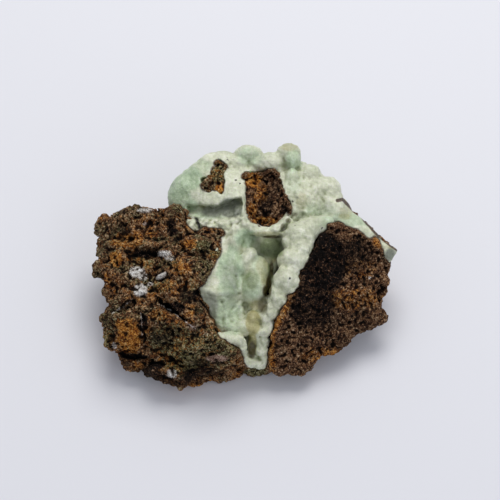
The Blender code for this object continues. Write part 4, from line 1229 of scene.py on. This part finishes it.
# Each tint's mask, by how much the clouds break up its edge, and its colours.
TINTS = [
    ("green", 0.9, [(0.0, "#8aa081"), (0.5, "#b0c2a3"), (1.0, "#d7e3cd")]),
    ("chalk", 0.9, [(0.0, "#b3b69a"), (0.5, "#d1d4be"), (1.0, "#eeefe3")]),
    # Painted shade in grey.
    ("painted_shade_grey", 0.8, [(0.0, "#5d6254"), (1.0, "#959a8b")]),
    ("yellow", 0.7, [(0.0, "#7c7745"), (0.5, "#a09b6a"), (1.0, "#c2bf96")]),
    # The deep green also paints shade on the bulb.
    ("deep", 0.9, [(0.0, "#59633c"), (1.0, "#91a070")]),
    # The olive tint is partly painted shade in the gaps.
    ("olive", 0.6, [(0.0, "#2c2716"), (1.0, "#71683f")]),
]
colour = lay_tint(aragonite, None, 1.0, cloudy, PLAIN)
for name, breakup, stops in TINTS:
    colour = lay_tint(aragonite, colour, where_marked(aragonite, name, clouds, breakup), cloudy, stops)
crease = add_node(aragonite, "ShaderNodeAttribute", attribute_name="crease").outputs["Fac"]
colour = lay_tint(aragonite, colour, 1.0, crease, CREASE_SHADE, "MULTIPLY")
stained = where_marked(aragonite, "stain", needles, 0.9)
colour = lay_tint(aragonite, colour, stained, needles, STONE_STAIN)
print("aragonite nodes with its tints", len(aragonite.node_tree.nodes))

# %% [markdown]
# The black specks of oxide are small ragged balls about the places where they are seen. The slit is painted
# near black by its stored mask, as the shade deep in it. The chalky places are duller than the clear ones, so
# the roughness follows the chalk's mask.

# %% Aragonite's specks and finish
nearest = 1.0
for across, up in SPECKS:
    ends = {0: place, 1: whole_front(across, up) * MM}
    gap = add_node(aragonite, "ShaderNodeVectorMath", ends, operation="DISTANCE").outputs["Value"]
    both = {0: gap, 1: nearest}
    nearest = add_node(aragonite, "ShaderNodeMath", both, operation="MINIMUM").outputs["Value"]
ball = {"Value": add_up(aragonite, (nearest, 1 / MM), (needles, 1.0)), "From Min": 0.85, "From Max": 0.65}
speck = add_node(aragonite, "ShaderNodeMapRange", ball).outputs["Result"]
slit = add_node(aragonite, "ShaderNodeAttribute", attribute_name="slit").outputs["Fac"]
specks_and_slit_shade = add_node(aragonite, "ShaderNodeMath", {0: speck, 1: slit}, operation="MAXIMUM").outputs["Value"]
layer = {0: specks_and_slit_shade, 6: colour, 7: linear("#16130d")}
colour = add_node(aragonite, "ShaderNodeMix", layer, data_type="RGBA").outputs[2]
aragonite.node_tree.links.new(colour, shader.inputs["Base Color"])
chalkiness = add_node(aragonite, "ShaderNodeAttribute", attribute_name="chalk").outputs["Fac"]
dulling = {"Value": chalkiness, "To Min": 0.38, "To Max": 0.62}
roughness = add_node(aragonite, "ShaderNodeMapRange", dulling).outputs["Result"]
aragonite.node_tree.links.new(roughness, shader.inputs["Roughness"])
ends_of_needles = add_up(aragonite, (needles, 0.5), (sugar, 1.0))
raised = {"Height": ends_of_needles, "Strength": 0.8, "Distance": 0.3 * MM}
bumps = add_node(aragonite, "ShaderNodeBump", raised)
aragonite.node_tree.links.new(bumps.outputs["Normal"], shader.inputs["Normal"])
crust.data.materials.append(aragonite)
print("aragonite nodes", len(aragonite.node_tree.nodes))

# %% [markdown]
# Each piece takes the place of one solid of the frame and rides on the one body, so that the specimen moves
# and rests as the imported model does.

# %% The pieces in the frame
for piece, slot_name, node_name in (
    (stone, "limonite", "limonite_matrix"), (crust, "aragonite", "aragonite_crust"),
):
    only_select(piece)
    bpy.ops.object.shade_smooth()
    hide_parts(node_name)
    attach(piece, "root")
    print(piece.name, "takes the place of", node_name)

# %% [markdown]
# The last cell notes how large the frame and the finished pieces are, both in metres, and hands the scene on.

# %% Sizes, and the end
both = {"cad": cad_box, "visual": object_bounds()}
{name: [list(corner) for corner in box] for name, box in both.items()}
print("visual box", [[round(value / MM, 2) for value in corner] for corner in both["visual"]], "mm")
